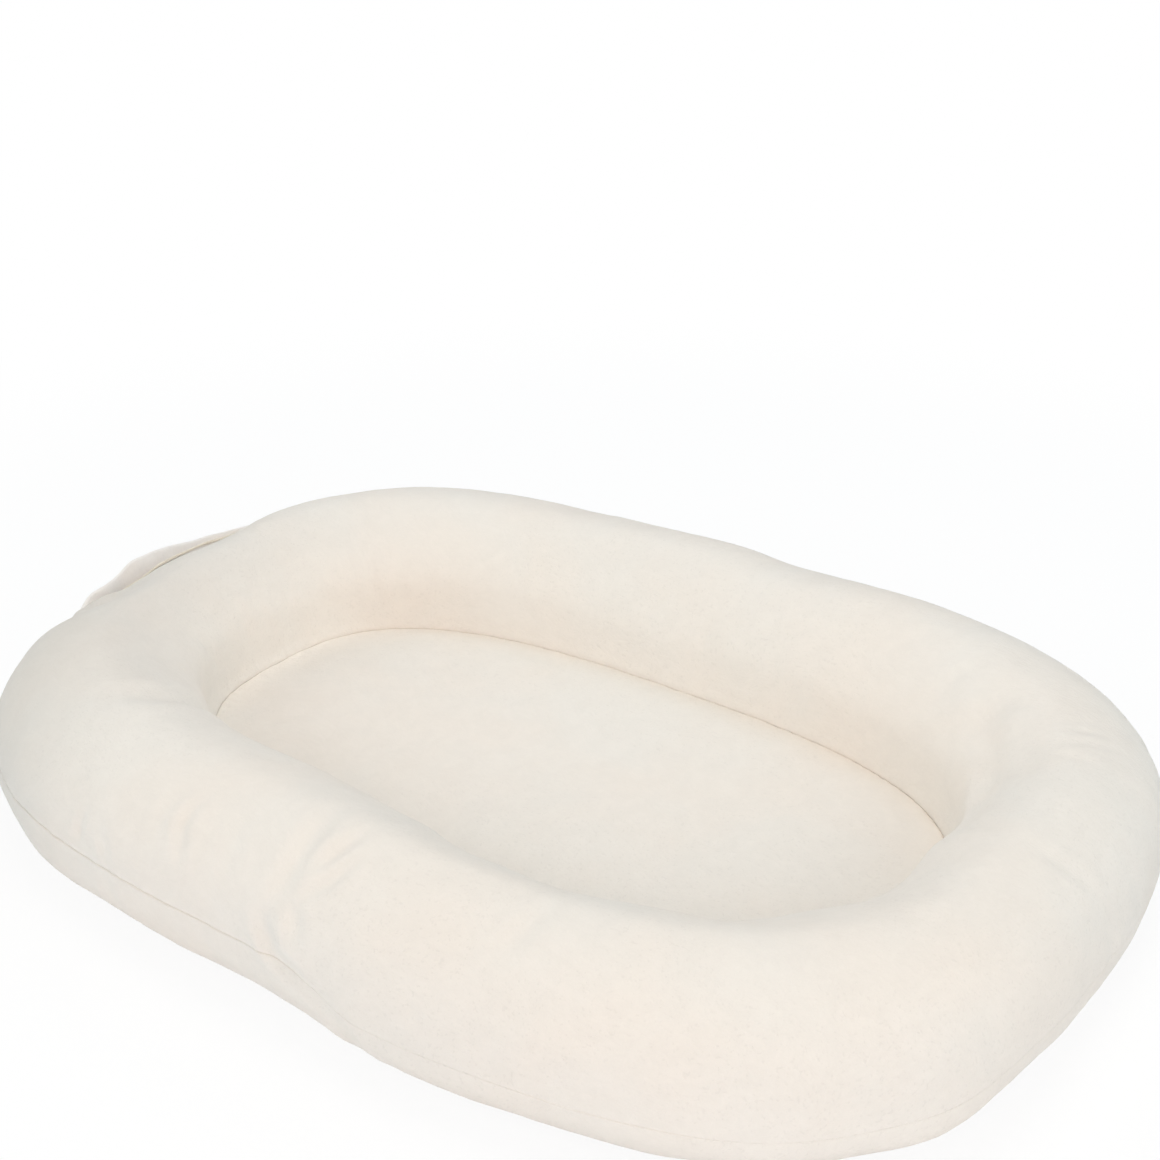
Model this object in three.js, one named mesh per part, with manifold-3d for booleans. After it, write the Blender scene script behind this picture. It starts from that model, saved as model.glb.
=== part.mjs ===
// Infant lounger: a soft ring-shaped rim round a padded sleeping surface, with a zipped underside and a carry
// strap across the head end. Millimetres, +Z up. The origin is on the floor under the middle of the rim.
// +X points to the foot end, -X to the head end with the strap, and +Y to the far long side.
import * as THREE from "three";
import { mergeVertices } from "three/addons/utils/BufferGeometryUtils.js";
import Module from "manifold-3d";

const wasm = await Module();
wasm.setup();

// Rim
const RIM_LENGTH = 880;
const RIM_WIDTH = 660;
const RIM_HEIGHT = 128;
const WIDEST_HEIGHT = 53.5;
const FOOT_CUT = 0.5;

// Sleeping surface
const SLEEP_LENGTH = 615;
const SLEEP_WIDTH = 330;
const SEAM_HEIGHT = 34;
const RIM_OVERHANG = 1.5;
const SLEEP_CROWN = 5;
const SLEEP_EDGE_ROLL = 3;

// Side seam round the outside, high along the head half and lower towards the foot
const SIDE_SEAM_HEAD_HEIGHT = 66;
const SIDE_SEAM_FOOT_HEIGHT = 51;
const SIDE_SEAM_DROP_START = 5;
const SIDE_SEAM_DROP_LENGTH = 95;
const SEAM_DRAW_IN = 2;

// Cloth, from the outside in
const PLUSH = 3;
const LINER = 0.8;
const LINER_SLIT = 5;
const WOVEN = 1.2;
const CLEARANCE = 0.3;

// Underside
const BASE_HEIGHT = 9;
const COVER_HEM = 6;

// Sleeping pad
const PAD_EDGE_ROUND = 6;
const PAD_EDGE_GAP = 2;

// Binding of the inner seam
const TAPE_THICKNESS = 1.2;
const TAPE_HEIGHT = 11;

// Carry strap
const STRAP_SPAN = 180;
const STRAP_WIDTH = 38;
const STRAP_END_LENGTH = 27;
const STRAP_END_HEIGHT = 71;
const STRAP_RISE = 15;
const STRAP_STANDOFF = 5.5;
const STRAP_OFFSET = 4;
const STRAP_SKIN = 1.3;
const WEBBING_THICKNESS = 1.2;
const WEBBING_WIDTH = 32;
const STITCH_THREAD = 0.8;
const STITCH_MARGIN = 5;

// Zip
const ZIP_LENGTH = 520;
const ZIP_SLOT = 8;
const ZIP_TAPE_WIDTH = 12;
const ZIP_TAPE_THICKNESS = 0.6;
const ZIP_TAPE_TAIL = 10;
const COIL_WIDTH = 2.4;
const COIL_HEIGHT = 2.6;
const STOP_LENGTH = 4;
const SLIDER_LENGTH = 12;
const SLIDER_PLATE = 1.2;
const SLIDER_LIP = 1.2;
const EAR_LENGTH = 4;
const PIN_RADIUS = 0.6;
const PULL_LENGTH = 26;
const PULL_WIDTH = 6;
const PULL_THICKNESS = 1.2;
const PULL_NECK_WIDTH = 3.4;
const PULL_EYE_WALL = 0.7;

// How square the ovals are and how full the rim's section is: 2 is an ellipse, more is boxier
const RIM_OVAL_POWER = 3.08;
const SLEEP_OVAL_POWER = 2.77;
const INNER_SLOPE_POWER = 1.5;
const OUTER_SHOULDER_POWER = 2.1;
const UNDERSIDE_POWER = 2.45;
const STRAP_BOW_POWER = 2.4;

// Counts
const STATION_COUNT = 44;
const UPPER_STEP_COUNT = 10;
const STRAP_STEP_COUNT = 12;
const ROUND_SIDE_COUNT = 12;

// Section angles, in degrees from straight out, up over the crest and round
const SEAM_SHOULDER_DEGREES = 6;
const LOWER_FLANK_DEGREES = [-22, -42, -62];

const LENGTH_OVAL = { halfLength: RIM_LENGTH / 2, halfWidth: RIM_WIDTH / 2, power: RIM_OVAL_POWER };
const SLEEP_OVAL = { halfLength: SLEEP_LENGTH / 2, halfWidth: SLEEP_WIDTH / 2, power: SLEEP_OVAL_POWER };
const BASE_TOP = BASE_HEIGHT + WOVEN;
const STRAP_THICKNESS = 2 * STRAP_SKIN + WEBBING_THICKNESS + 2 * CLEARANCE;

// Colours and finishes
const plush = new THREE.MeshStandardMaterial({ color: 0xeee6da, roughness: 1, metalness: 0 });
const wovenCotton = new THREE.MeshStandardMaterial({ color: 0xf3efe8, roughness: 0.95, metalness: 0 });
const liningCloth = new THREE.MeshStandardMaterial({ color: 0xf6f5f2, roughness: 0.9, metalness: 0 });
const fibre = new THREE.MeshStandardMaterial({ color: 0xfafafa, roughness: 1, metalness: 0 });
const foam = new THREE.MeshStandardMaterial({ color: 0xf4f0dc, roughness: 1, metalness: 0 });
const webbing = new THREE.MeshStandardMaterial({ color: 0xe9e1d2, roughness: 0.85, metalness: 0 });
const thread = new THREE.MeshStandardMaterial({ color: 0xf0e9dc, roughness: 0.7, metalness: 0 });
const zipPlastic = new THREE.MeshStandardMaterial({ color: 0xf1ece2, roughness: 0.45, metalness: 0 });
const zipMetal = new THREE.MeshStandardMaterial({ color: 0xdedbd4, roughness: 0.35, metalness: 0.6 });

const lounger = new THREE.Group();

function add(name, geometry, material) {
  const mesh = new THREE.Mesh(geometry, material);
  mesh.name = name;
  lounger.add(mesh);
  return mesh;
}

// Number helpers
function signedPower(value, power) {
  return Math.sign(value) * Math.abs(value) ** power;
}

function smoothStep(value) {
  const share = Math.min(Math.max(value, 0), 1);
  return share * share * (3 - 2 * share);
}

function range(count) {
  return Array.from({ length: count }, (_, index) => index);
}

// A closed solid from points and triangles, with its faces turned outwards by the sign of its volume.
function solid(points, triangles) {
  let volume = 0;
  for (const [a, b, c] of triangles) {
    volume += points[a].dot(new THREE.Vector3().crossVectors(points[b], points[c]));
  }
  const faces = volume < 0 ? triangles.map(([a, b, c]) => [a, c, b]) : triangles;
  const geometry = new THREE.BufferGeometry();
  const numbers = points.flatMap((point) => [point.x, point.y, point.z]);
  geometry.setAttribute("position", new THREE.Float32BufferAttribute(numbers, 3));
  geometry.setIndex(faces.flat());
  geometry.computeVertexNormals();
  return geometry;
}

// Two triangles across four corners in order round, split by the shorter diagonal so that nested sheets match
function quad(points, a, b, c, d) {
  if (points[a].distanceTo(points[c]) <= points[b].distanceTo(points[d])) {
    return [[a, b, c], [a, c, d]];
  }
  return [[a, b, d], [b, c, d]];
}

// Faces between neighbouring loops of points. The loops go round in a ring, or have flat ends, where
// the first half of a loop's points faces the second half, as on a bent strip.
function loft(loops, { ring }) {
  const size = loops[0].length;
  const points = loops.flat();
  const triangles = [];
  const joins = ring ? loops.length : loops.length - 1;
  for (let i = 0; i < joins; i++) {
    const next = (i + 1) % loops.length;
    for (let j = 0; j < size; j++) {
      const k = (j + 1) % size;
      triangles.push(...quad(points, i * size + j, next * size + j, next * size + k, i * size + k));
    }
  }
  if (!ring) {
    const last = (loops.length - 1) * size;
    for (let j = 0; j < size / 2 - 1; j++) {
      const facing = size - 1 - j;
      triangles.push(...quad(points, j, j + 1, facing - 1, facing));
      triangles.push(...quad(points, last + facing, last + facing - 1, last + j + 1, last + j));
    }
  }
  return solid(points, triangles);
}

// Rings of points round an axis, closed by a point on the axis at each end.
function lofted(rings, firstPole, lastPole) {
  const size = rings[0].length;
  const points = [...rings.flat(), firstPole, lastPole];
  const first = points.length - 2;
  const last = points.length - 1;
  const triangles = [];
  for (let j = 0; j < size; j++) {
    const k = (j + 1) % size;
    triangles.push([first, k, j]);
    for (let i = 0; i < rings.length - 1; i++) {
      triangles.push(...quad(points, i * size + j, i * size + k, (i + 1) * size + k, (i + 1) * size + j));
    }
    triangles.push([last, (rings.length - 1) * size + j, (rings.length - 1) * size + k]);
  }
  return solid(points, triangles);
}

function box(low, high) {
  const geometry = new THREE.BoxGeometry(high[0] - low[0], high[1] - low[1], high[2] - low[2]);
  geometry.translate((low[0] + high[0]) / 2, (low[1] + high[1]) / 2, (low[2] + high[2]) / 2);
  return geometry;
}

// A round bar along Y
function bar(radius, halfWidth, x, z) {
  const geometry = new THREE.CylinderGeometry(radius, radius, 2 * halfWidth, ROUND_SIDE_COUNT);
  geometry.translate(x, 0, z);
  return geometry;
}

function toManifold(geometry) {
  const bare = geometry.clone();
  bare.deleteAttribute("normal");
  bare.deleteAttribute("uv");
  const merged = mergeVertices(bare);
  const vertProperties = merged.attributes.position.array;
  const triVerts = new Uint32Array(merged.index.array);
  return new wasm.Manifold(new wasm.Mesh({ numProp: 3, vertProperties, triVerts }));
}

function fromManifold(manifold) {
  const mesh = manifold.getMesh();
  const geometry = new THREE.BufferGeometry();
  geometry.setAttribute("position", new THREE.BufferAttribute(mesh.vertProperties, 3));
  geometry.setIndex(new THREE.BufferAttribute(mesh.triVerts, 1));
  geometry.computeVertexNormals();
  return geometry;
}

// Plan of the rim: an outer oval and the sleeping surface's oval, matched angle by angle
function ovalPoint(oval, turn) {
  const x = oval.halfLength * signedPower(Math.cos(turn), 2 / oval.power);
  const y = oval.halfWidth * signedPower(Math.sin(turn), 2 / oval.power);
  return new THREE.Vector2(x, y);
}

// Turns that part the outer oval into equal lengths, starting at the middle of the foot end
function evenTurns(count) {
  const fine = range(count * 40 + 1).map((index) => (index / (count * 40)) * 2 * Math.PI);
  const lengths = [0];
  for (let i = 1; i < fine.length; i++) {
    const step = ovalPoint(LENGTH_OVAL, fine[i]).distanceTo(ovalPoint(LENGTH_OVAL, fine[i - 1]));
    lengths.push(lengths[i - 1] + step);
  }
  const whole = lengths[lengths.length - 1];
  return range(count).map((index) => {
    const target = (whole * index) / count;
    const after = Math.max(lengths.findIndex((length) => length >= target), 1);
    const share = (target - lengths[after - 1]) / (lengths[after] - lengths[after - 1]);
    return fine[after - 1] + share * (fine[after] - fine[after - 1]);
  });
}
const TURNS = evenTurns(STATION_COUNT);

// The rim's upright section at a turn of the plan
function sectionFrame(turn) {
  const outer = ovalPoint(LENGTH_OVAL, turn);
  const inner = ovalPoint(SLEEP_OVAL, turn);
  const outward = outer.clone().sub(inner).normalize();
  const edge = inner.clone().addScaledVector(outward, -RIM_OVERHANG);
  const middle = outer.clone().add(edge).multiplyScalar(0.5);
  return { middle, outward, half: outer.distanceTo(edge) / 2 };
}

function sectionPower(angle) {
  if (Math.sin(angle) < 0) return UNDERSIDE_POWER;
  return Math.cos(angle) > 0 ? OUTER_SHOULDER_POWER : INNER_SLOPE_POWER;
}

// A point of the rim's surface, or of a layer that lies inset under it
function rimPoint(turn, angle, inset) {
  const { middle, outward, half } = sectionFrame(turn);
  const power = sectionPower(angle);
  const reach = (half - inset) * signedPower(Math.cos(angle), 2 / power);
  const above = RIM_HEIGHT - WIDEST_HEIGHT - inset;
  const below = WIDEST_HEIGHT + FOOT_CUT - inset;
  const rise = (Math.sin(angle) > 0 ? above : below) * signedPower(Math.sin(angle), 2 / power);
  const plan = middle.clone().addScaledVector(outward, reach);
  return new THREE.Vector3(plan.x, plan.y, Math.max(WIDEST_HEIGHT + rise, inset));
}

// The section angle, on the outer side, at which the rim's surface has a height
function outerAngle(height) {
  if (height > WIDEST_HEIGHT) {
    const share = (height - WIDEST_HEIGHT) / (RIM_HEIGHT - WIDEST_HEIGHT);
    return Math.asin(share ** (OUTER_SHOULDER_POWER / 2));
  }
  const share = (WIDEST_HEIGHT - height) / (WIDEST_HEIGHT + FOOT_CUT);
  return -Math.asin(share ** (UNDERSIDE_POWER / 2));
}

// The same on the inner side, under the widest height
function innerAngle(height) {
  const share = (WIDEST_HEIGHT - height) / (WIDEST_HEIGHT + FOOT_CUT);
  return Math.PI + Math.asin(share ** (UNDERSIDE_POWER / 2));
}

function sideSeamAngle(turn) {
  const x = ovalPoint(LENGTH_OVAL, turn).x;
  const drop = smoothStep((x - SIDE_SEAM_DROP_START) / SIDE_SEAM_DROP_LENGTH);
  return outerAngle(SIDE_SEAM_HEAD_HEIGHT + drop * (SIDE_SEAM_FOOT_HEIGHT - SIDE_SEAM_HEAD_HEIGHT));
}

const FULL_TURN = 2 * Math.PI;
const SHOULDER = THREE.MathUtils.degToRad(SEAM_SHOULDER_DEGREES);
const INNER_SEAM_ANGLE = innerAngle(SEAM_HEIGHT);
const BASE_EDGE_ANGLE = innerAngle(BASE_TOP);
const HEM_ANGLE = innerAngle(BASE_TOP + COVER_HEM);
const FOOT_OUTER_ANGLE = outerAngle(0);
const FOOT_INNER_ANGLE = innerAngle(0) - FULL_TURN;

// The section's angles from the side seam over the crest to the inner seam. The first is drawn in by the seam.
function upperAngles(turn) {
  const seam = sideSeamAngle(turn);
  const start = seam + SHOULDER;
  const rest = range(UPPER_STEP_COUNT + 1).map(
    (index) => start + ((INNER_SEAM_ANGLE - start) * index) / UPPER_STEP_COUNT,
  );
  return [seam, ...rest];
}

// The section's angles from the side seam down, under the flat foot and up to the hem beside the base panel
function lowerAngles(turn) {
  const seam = sideSeamAngle(turn);
  const flank = LOWER_FLANK_DEGREES.map(THREE.MathUtils.degToRad);
  return [
    seam - CLEARANCE / sectionFrame(turn).half,
    seam - SHOULDER,
    ...flank,
    FOOT_OUTER_ANGLE,
    FOOT_INNER_ANGLE,
    BASE_EDGE_ANGLE - FULL_TURN,
    HEM_ANGLE - FULL_TURN,
  ];
}

// A sheet of the cover: the angles' points on the outside, then back along its inner face
function sheetLoop(turn, angles, outerInset, thickness) {
  const drawIn = (index) => (index === 0 ? SEAM_DRAW_IN : 0);
  const outside = angles.map((angle, index) => rimPoint(turn, angle, outerInset + drawIn(index)));
  const inside = angles.map((angle, index) => rimPoint(turn, angle, outerInset + thickness + drawIn(index)));
  return [...outside, ...inside.reverse()];
}

function upperCover() {
  const loops = TURNS.map((turn) => sheetLoop(turn, upperAngles(turn), 0, PLUSH));
  add("upper_cover", loft(loops, { ring: true }), plush);
}

function lowerCover() {
  const loops = TURNS.map((turn) => sheetLoop(turn, lowerAngles(turn), 0, PLUSH));
  add("lower_cover", loft(loops, { ring: true }), plush);
}

// The angles that the filling and its liner use: fewer than the cover's, from one lip of the liner's closing
// slit, under the foot and over the crest, to the other lip
function fillingAngles(turn) {
  const lower = lowerAngles(turn).filter((_, index) => index % 2 === 0 && index > 0);
  const upper = upperAngles(turn).filter((_, index) => index % 2 === 1 && index > 1);
  const lip = HEM_ANGLE - LINER_SLIT / sectionFrame(turn).half;
  return [...lower.reverse(), sideSeamAngle(turn), ...upper, lip];
}

function liningInset(turn, angle, inset) {
  const atSeam = Math.abs(angle - sideSeamAngle(turn)) < SHOULDER / 2;
  return inset + (atSeam ? SEAM_DRAW_IN : 0);
}

function bolsterLiner() {
  const outer = PLUSH + CLEARANCE;
  const inner = outer + LINER;
  const loops = TURNS.map((turn) => {
    const angles = fillingAngles(turn);
    const outside = angles.map((angle) => rimPoint(turn, angle, liningInset(turn, angle, outer)));
    const inside = angles.map((angle) => rimPoint(turn, angle, liningInset(turn, angle, inner)));
    return [...outside, ...inside.reverse()];
  });
  add("bolster_liner", loft(loops, { ring: true }), liningCloth);
}

function bolsterFill() {
  const inset = PLUSH + LINER + 2 * CLEARANCE;
  const loops = TURNS.map((turn) =>
    fillingAngles(turn).map((angle) => rimPoint(turn, angle, liningInset(turn, angle, inset))),
  );
  add("bolster_fill", loft(loops, { ring: true }), fibre);
}

// A point beside the inner seam: inwards of it where the distance is positive, outwards where it is negative
function seamSide(turn, distance, z) {
  const seam = rimPoint(turn, INNER_SEAM_ANGLE, 0);
  const { outward } = sectionFrame(turn);
  return new THREE.Vector3(seam.x - outward.x * distance, seam.y - outward.y * distance, z);
}

// Oval rings about the middle of the sleeping surface: each level is a share of the edge ring and a height
function ovalSolid(edgeDistance, levels) {
  const rings = levels
    .filter(({ share }) => share > 0)
    .map(({ share, z }) =>
      TURNS.map((turn) => {
        const edge = seamSide(turn, edgeDistance, z);
        return new THREE.Vector3(edge.x * share, edge.y * share, z);
      }),
    );
  const pole = (level) => new THREE.Vector3(0, 0, level.z);
  return lofted(rings, pole(levels[0]), pole(levels[levels.length - 1]));
}

// The crown's height over the seam, at a share of the way from the middle to the edge
function crownHeight(share) {
  return SEAM_HEIGHT + SLEEP_CROWN * (1 - share ** 4) - SLEEP_EDGE_ROLL * share ** 16;
}

const CROWN_SHARES = [0, 0.45, 0.75, 0.9, 1];

function sleepPanel() {
  const top = CROWN_SHARES.map((share) => ({ share, z: crownHeight(share) }));
  const under = CROWN_SHARES.map((share) => ({ share, z: crownHeight(share) - PLUSH }));
  add("sleep_panel", ovalSolid(CLEARANCE, [...top, ...under.reverse()]), plush);
}

// The pad's profile, inset evenly from the pocket that it fills. The last levels close its underside.
const PAD_FOOT_SHARE = 0.97;
const PAD_OPENING_SHARE = 0.5;

function padTop(inset) {
  const under = PLUSH + CLEARANCE + inset;
  const shoulder = crownHeight(1) - under;
  const crown = CROWN_SHARES.map((share) => ({ share: share * PAD_FOOT_SHARE, z: crownHeight(share) - under }));
  return [...crown, { share: 1, z: shoulder - PAD_EDGE_ROUND }];
}

function padBottom(inset) {
  const floor = BASE_TOP + CLEARANCE + inset;
  return [
    { share: 1, z: floor + PAD_EDGE_ROUND },
    { share: PAD_FOOT_SHARE, z: floor },
  ];
}

function padLiner() {
  const rings = (inset, levels) =>
    levels
      .filter(({ share }) => share > 0)
      .map(({ share, z }) =>
        TURNS.map((turn) => {
          const edge = seamSide(turn, PAD_EDGE_GAP + inset, z);
          return new THREE.Vector3(edge.x * share, edge.y * share, z);
        }),
      );
  const lip = (inset) => ({ share: PAD_OPENING_SHARE, z: BASE_TOP + CLEARANCE + inset });
  const outside = rings(0, [...padTop(0), ...padBottom(0), lip(0)]);
  const inside = rings(LINER, [...padTop(LINER), ...padBottom(LINER), lip(LINER)]);
  const topPole = new THREE.Vector3(0, 0, padTop(0)[0].z);
  const innerPole = new THREE.Vector3(0, 0, padTop(LINER)[0].z);
  add("pad_liner", lofted([...outside, ...inside.reverse()], topPole, innerPole), liningCloth);
}

function padCore() {
  const inset = LINER + CLEARANCE;
  const bottom = padBottom(inset);
  const levels = [...padTop(inset), ...bottom, { share: 0, z: bottom[bottom.length - 1].z }];
  add("pad_core", ovalSolid(PAD_EDGE_GAP + inset, levels), foam);
}

function innerSeamTape() {
  const top = SEAM_HEIGHT - CLEARANCE;
  const loops = TURNS.map((turn) => [
    seamSide(turn, 0, top),
    seamSide(turn, -TAPE_THICKNESS, top),
    seamSide(turn, -TAPE_THICKNESS, top - TAPE_HEIGHT),
    seamSide(turn, 0, top - TAPE_HEIGHT),
  ]);
  add("inner_seam_tape", loft(loops, { ring: true }), webbing);
}

// Half of the woven underside, from the middle out to the rim, with a step for the zip. side is -1 near, 1 far.
function basePanel(name, side) {
  const seamEdge = side * (CLEARANCE / 2);
  const slotEdge = side * (ZIP_SLOT / 2);
  const slotEnd = ZIP_LENGTH / 2 + STOP_LENGTH + 2 * CLEARANCE;
  const outline = TURNS.map((turn) => {
    const point = rimPoint(turn, BASE_EDGE_ANGLE, 0);
    const { outward } = sectionFrame(turn);
    return new THREE.Vector2(point.x - outward.x * CLEARANCE, point.y - outward.y * CLEARANCE);
  }).filter((point) => point.y * side > ZIP_SLOT);
  const sorted = outline.sort((a, b) => a.x - b.x);
  const step = [
    [sorted[sorted.length - 1].x, seamEdge],
    [slotEnd, seamEdge],
    [slotEnd, slotEdge],
    [-slotEnd, slotEdge],
    [-slotEnd, seamEdge],
    [sorted[0].x, seamEdge],
  ].map(([x, y]) => new THREE.Vector2(x, y));
  const geometry = new THREE.ExtrudeGeometry(new THREE.Shape([...sorted, ...step]), {
    depth: WOVEN,
    bevelEnabled: false,
  });
  geometry.translate(0, 0, BASE_HEIGHT);
  add(name, geometry, wovenCotton);
}

// Zip: everything hangs from the level of its tapes, just under the base panels
const COIL_OUTER = COIL_WIDTH + CLEARANCE / 2;
const TAPE_INNER = COIL_OUTER + CLEARANCE;
const TAPE_TOP = BASE_HEIGHT - CLEARANCE;
const TAPE_BOTTOM = TAPE_TOP - ZIP_TAPE_THICKNESS;
const COIL_BOTTOM = (TAPE_TOP + TAPE_BOTTOM) / 2 - COIL_HEIGHT / 2;
const PLATE_TOP = COIL_BOTTOM - CLEARANCE;
const PLATE_BOTTOM = PLATE_TOP - SLIDER_PLATE;
const EYE_RADIUS = PIN_RADIUS + CLEARANCE + PULL_EYE_WALL;
const PIN_HEIGHT = PLATE_BOTTOM - CLEARANCE - EYE_RADIUS;
const SLIDER_END = ZIP_LENGTH / 2 - CLEARANCE;
const PIN_X = SLIDER_END - SLIDER_LENGTH / 2;

function zipTape(name, side) {
  const x = ZIP_LENGTH / 2 + ZIP_TAPE_TAIL;
  const ys = [side * TAPE_INNER, side * (TAPE_INNER + ZIP_TAPE_WIDTH)].sort((a, b) => a - b);
  add(name, box([-x, ys[0], TAPE_BOTTOM], [x, ys[1], TAPE_TOP]), liningCloth);
}

function zipCoil(name, side) {
  const x = ZIP_LENGTH / 2;
  const ys = [side * (CLEARANCE / 2), side * COIL_OUTER].sort((a, b) => a - b);
  add(name, box([-x, ys[0], COIL_BOTTOM], [x, ys[1], COIL_BOTTOM + COIL_HEIGHT]), zipPlastic);
}

function zipStop(name, side) {
  const near = side * (ZIP_LENGTH / 2 + CLEARANCE);
  const xs = [near, near + side * STOP_LENGTH].sort((a, b) => a - b);
  const low = [xs[0], -COIL_OUTER, PLATE_TOP - SLIDER_PLATE];
  const high = [xs[1], COIL_OUTER, COIL_BOTTOM + COIL_HEIGHT];
  add(name, box(low, high), zipMetal);
}

// The slider's outer plate with its two lips, and below it two ears with the pin for the pull
function zipSlider() {
  const start = SLIDER_END - SLIDER_LENGTH;
  const lipInner = COIL_OUTER + CLEARANCE;
  const lipOuter = lipInner + SLIDER_LIP;
  const lipTop = TAPE_BOTTOM - CLEARANCE;
  const earInner = PULL_NECK_WIDTH / 2 + CLEARANCE;
  const earOuter = earInner + SLIDER_LIP;
  const plate = box([start, -lipOuter, PLATE_BOTTOM], [SLIDER_END, lipOuter, PLATE_TOP]);
  const pieces = [-1, 1].flatMap((side) => {
    const lipYs = [side * lipInner, side * lipOuter].sort((a, b) => a - b);
    const earYs = [side * earInner, side * earOuter].sort((a, b) => a - b);
    const earLow = [PIN_X - EAR_LENGTH / 2, earYs[0], PIN_HEIGHT - 2 * PIN_RADIUS];
    const earHigh = [PIN_X + EAR_LENGTH / 2, earYs[1], PLATE_TOP];
    return [
      box([start, lipYs[0], PLATE_BOTTOM], [SLIDER_END, lipYs[1], lipTop]),
      box(earLow, earHigh),
    ];
  });
  const pin = bar(PIN_RADIUS, earOuter, PIN_X, PIN_HEIGHT);
  const joined = [...pieces, pin].reduce((whole, piece) => whole.add(toManifold(piece)), toManifold(plate));
  add("zip_slider", fromManifold(joined), zipMetal);
}

// The pull lies along the zip, with its eye round the slider's pin
function zipPull() {
  const low = PIN_HEIGHT - PULL_THICKNESS / 2;
  const high = PIN_HEIGHT + PULL_THICKNESS / 2;
  const neckEnd = PIN_X - Math.hypot(EAR_LENGTH / 2, 2 * PIN_RADIUS) - CLEARANCE;
  const eye = toManifold(bar(EYE_RADIUS, PULL_NECK_WIDTH / 2, PIN_X, PIN_HEIGHT));
  const neck = box([neckEnd, -PULL_NECK_WIDTH / 2, low], [PIN_X, PULL_NECK_WIDTH / 2, high]);
  const tab = box([PIN_X - PULL_LENGTH, -PULL_WIDTH / 2, low], [neckEnd, PULL_WIDTH / 2, high]);
  const bore = toManifold(bar(PIN_RADIUS + CLEARANCE, PULL_WIDTH, PIN_X, PIN_HEIGHT));
  const joined = eye.add(toManifold(neck)).add(toManifold(tab)).subtract(bore);
  add("zip_pull", fromManifold(joined), zipMetal);
}

// Carry strap: where its ends lie on the rim, and how its middle bows out and up
function flankX(y, z) {
  let low = Math.PI / 2;
  let high = (3 * Math.PI) / 2;
  const angle = outerAngle(z);
  for (let i = 0; i < 40; i++) {
    const turn = (low + high) / 2;
    if (rimPoint(turn, angle, 0).y > y) low = turn;
    else high = turn;
  }
  return rimPoint((low + high) / 2, angle, 0).x;
}

function strapBow(y) {
  const share = Math.min(Math.abs(y - STRAP_OFFSET) / (STRAP_SPAN / 2), 1);
  return 1 - share ** STRAP_BOW_POWER;
}

// The strap's upright section at y: a rectangle, inset evenly, clear of the widest part of the flank
function strapLoop(y, inset, width) {
  const middle = STRAP_END_HEIGHT + STRAP_RISE * strapBow(y);
  const low = middle - width / 2;
  const high = middle + width / 2;
  const inner = flankX(y, WIDEST_HEIGHT) - CLEARANCE - STRAP_STANDOFF * strapBow(y) - inset;
  const outer = inner - STRAP_THICKNESS + 2 * inset;
  return [
    new THREE.Vector3(inner, y, low),
    new THREE.Vector3(inner, y, high),
    new THREE.Vector3(outer, y, high),
    new THREE.Vector3(outer, y, low),
  ];
}

function gripStations() {
  const free = STRAP_SPAN - 2 * CLEARANCE;
  return range(STRAP_STEP_COUNT + 1).map((index) => STRAP_OFFSET + (index / STRAP_STEP_COUNT - 0.5) * free);
}

// The free middle: a plush sleeve, open at both ends, round its webbing
function handleGrip() {
  const outside = gripStations().map((y) => strapLoop(y, 0, STRAP_WIDTH));
  const inside = gripStations().map((y) => strapLoop(y, STRAP_SKIN, STRAP_WIDTH - 2 * STRAP_SKIN));
  const corners = outside[0].map((_, corner) => [
    ...outside.map((loop) => loop[corner]),
    ...inside.map((loop) => loop[corner]).reverse(),
  ]);
  add("handle_grip", loft(corners, { ring: true }), plush);
}

function handleWebbing() {
  const loops = gripStations().map((y) => strapLoop(y, STRAP_SKIN + CLEARANCE, WEBBING_WIDTH));
  add("handle_webbing", loft(loops, { ring: false }), webbing);
}

// A sewn end: a flat patch that follows the flank. side is -1 near and 1 far.
const END_HEIGHT_SHARES = [-0.5, -0.17, 0.17, 0.5];

function endLoop(y, inset, depth, height) {
  const heights = END_HEIGHT_SHARES.map((share) => STRAP_END_HEIGHT + share * height);
  const inner = heights.map((z) => new THREE.Vector3(flankX(y, z) - CLEARANCE - inset, y, z));
  const outer = heights.map((z) => new THREE.Vector3(flankX(y, z) - CLEARANCE - inset - depth, y, z));
  return [...inner, ...outer.reverse()];
}

function handleEnd(name, side) {
  const start = STRAP_OFFSET + side * (STRAP_SPAN / 2);
  const ys = range(3).map((index) => start + side * (index / 2) * STRAP_END_LENGTH);
  add(name, loft(ys.map((y) => endLoop(y, 0, STRAP_THICKNESS, STRAP_WIDTH)), { ring: false }), plush);
}

// The box stitch that holds an end, lying on its outer face
function handleStitch(name, side) {
  const start = STRAP_OFFSET + side * (STRAP_SPAN / 2 + STITCH_MARGIN);
  const length = STRAP_END_LENGTH - 2 * STITCH_MARGIN;
  const height = STRAP_WIDTH - 2 * STITCH_MARGIN;
  const inset = STRAP_THICKNESS + CLEARANCE;
  const stretch = (from, to, tall) => {
    const loops = [from, (from + to) / 2, to].map((y) => endLoop(y, inset, STITCH_THREAD, tall));
    return toManifold(loft(loops, { ring: false }));
  };
  const whole = stretch(start, start + side * length, height);
  const inside = (from, to, tall) => {
    const loops = [from, to].map((y) => endLoop(y, 0, STRAP_THICKNESS * 3, tall));
    return toManifold(loft(loops, { ring: false }));
  };
  const from = start + side * STITCH_THREAD;
  const to = start + side * (length - STITCH_THREAD);
  const frame = whole.subtract(inside(from, to, height - 2 * STITCH_THREAD));
  add(name, fromManifold(frame), thread);
}

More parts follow.
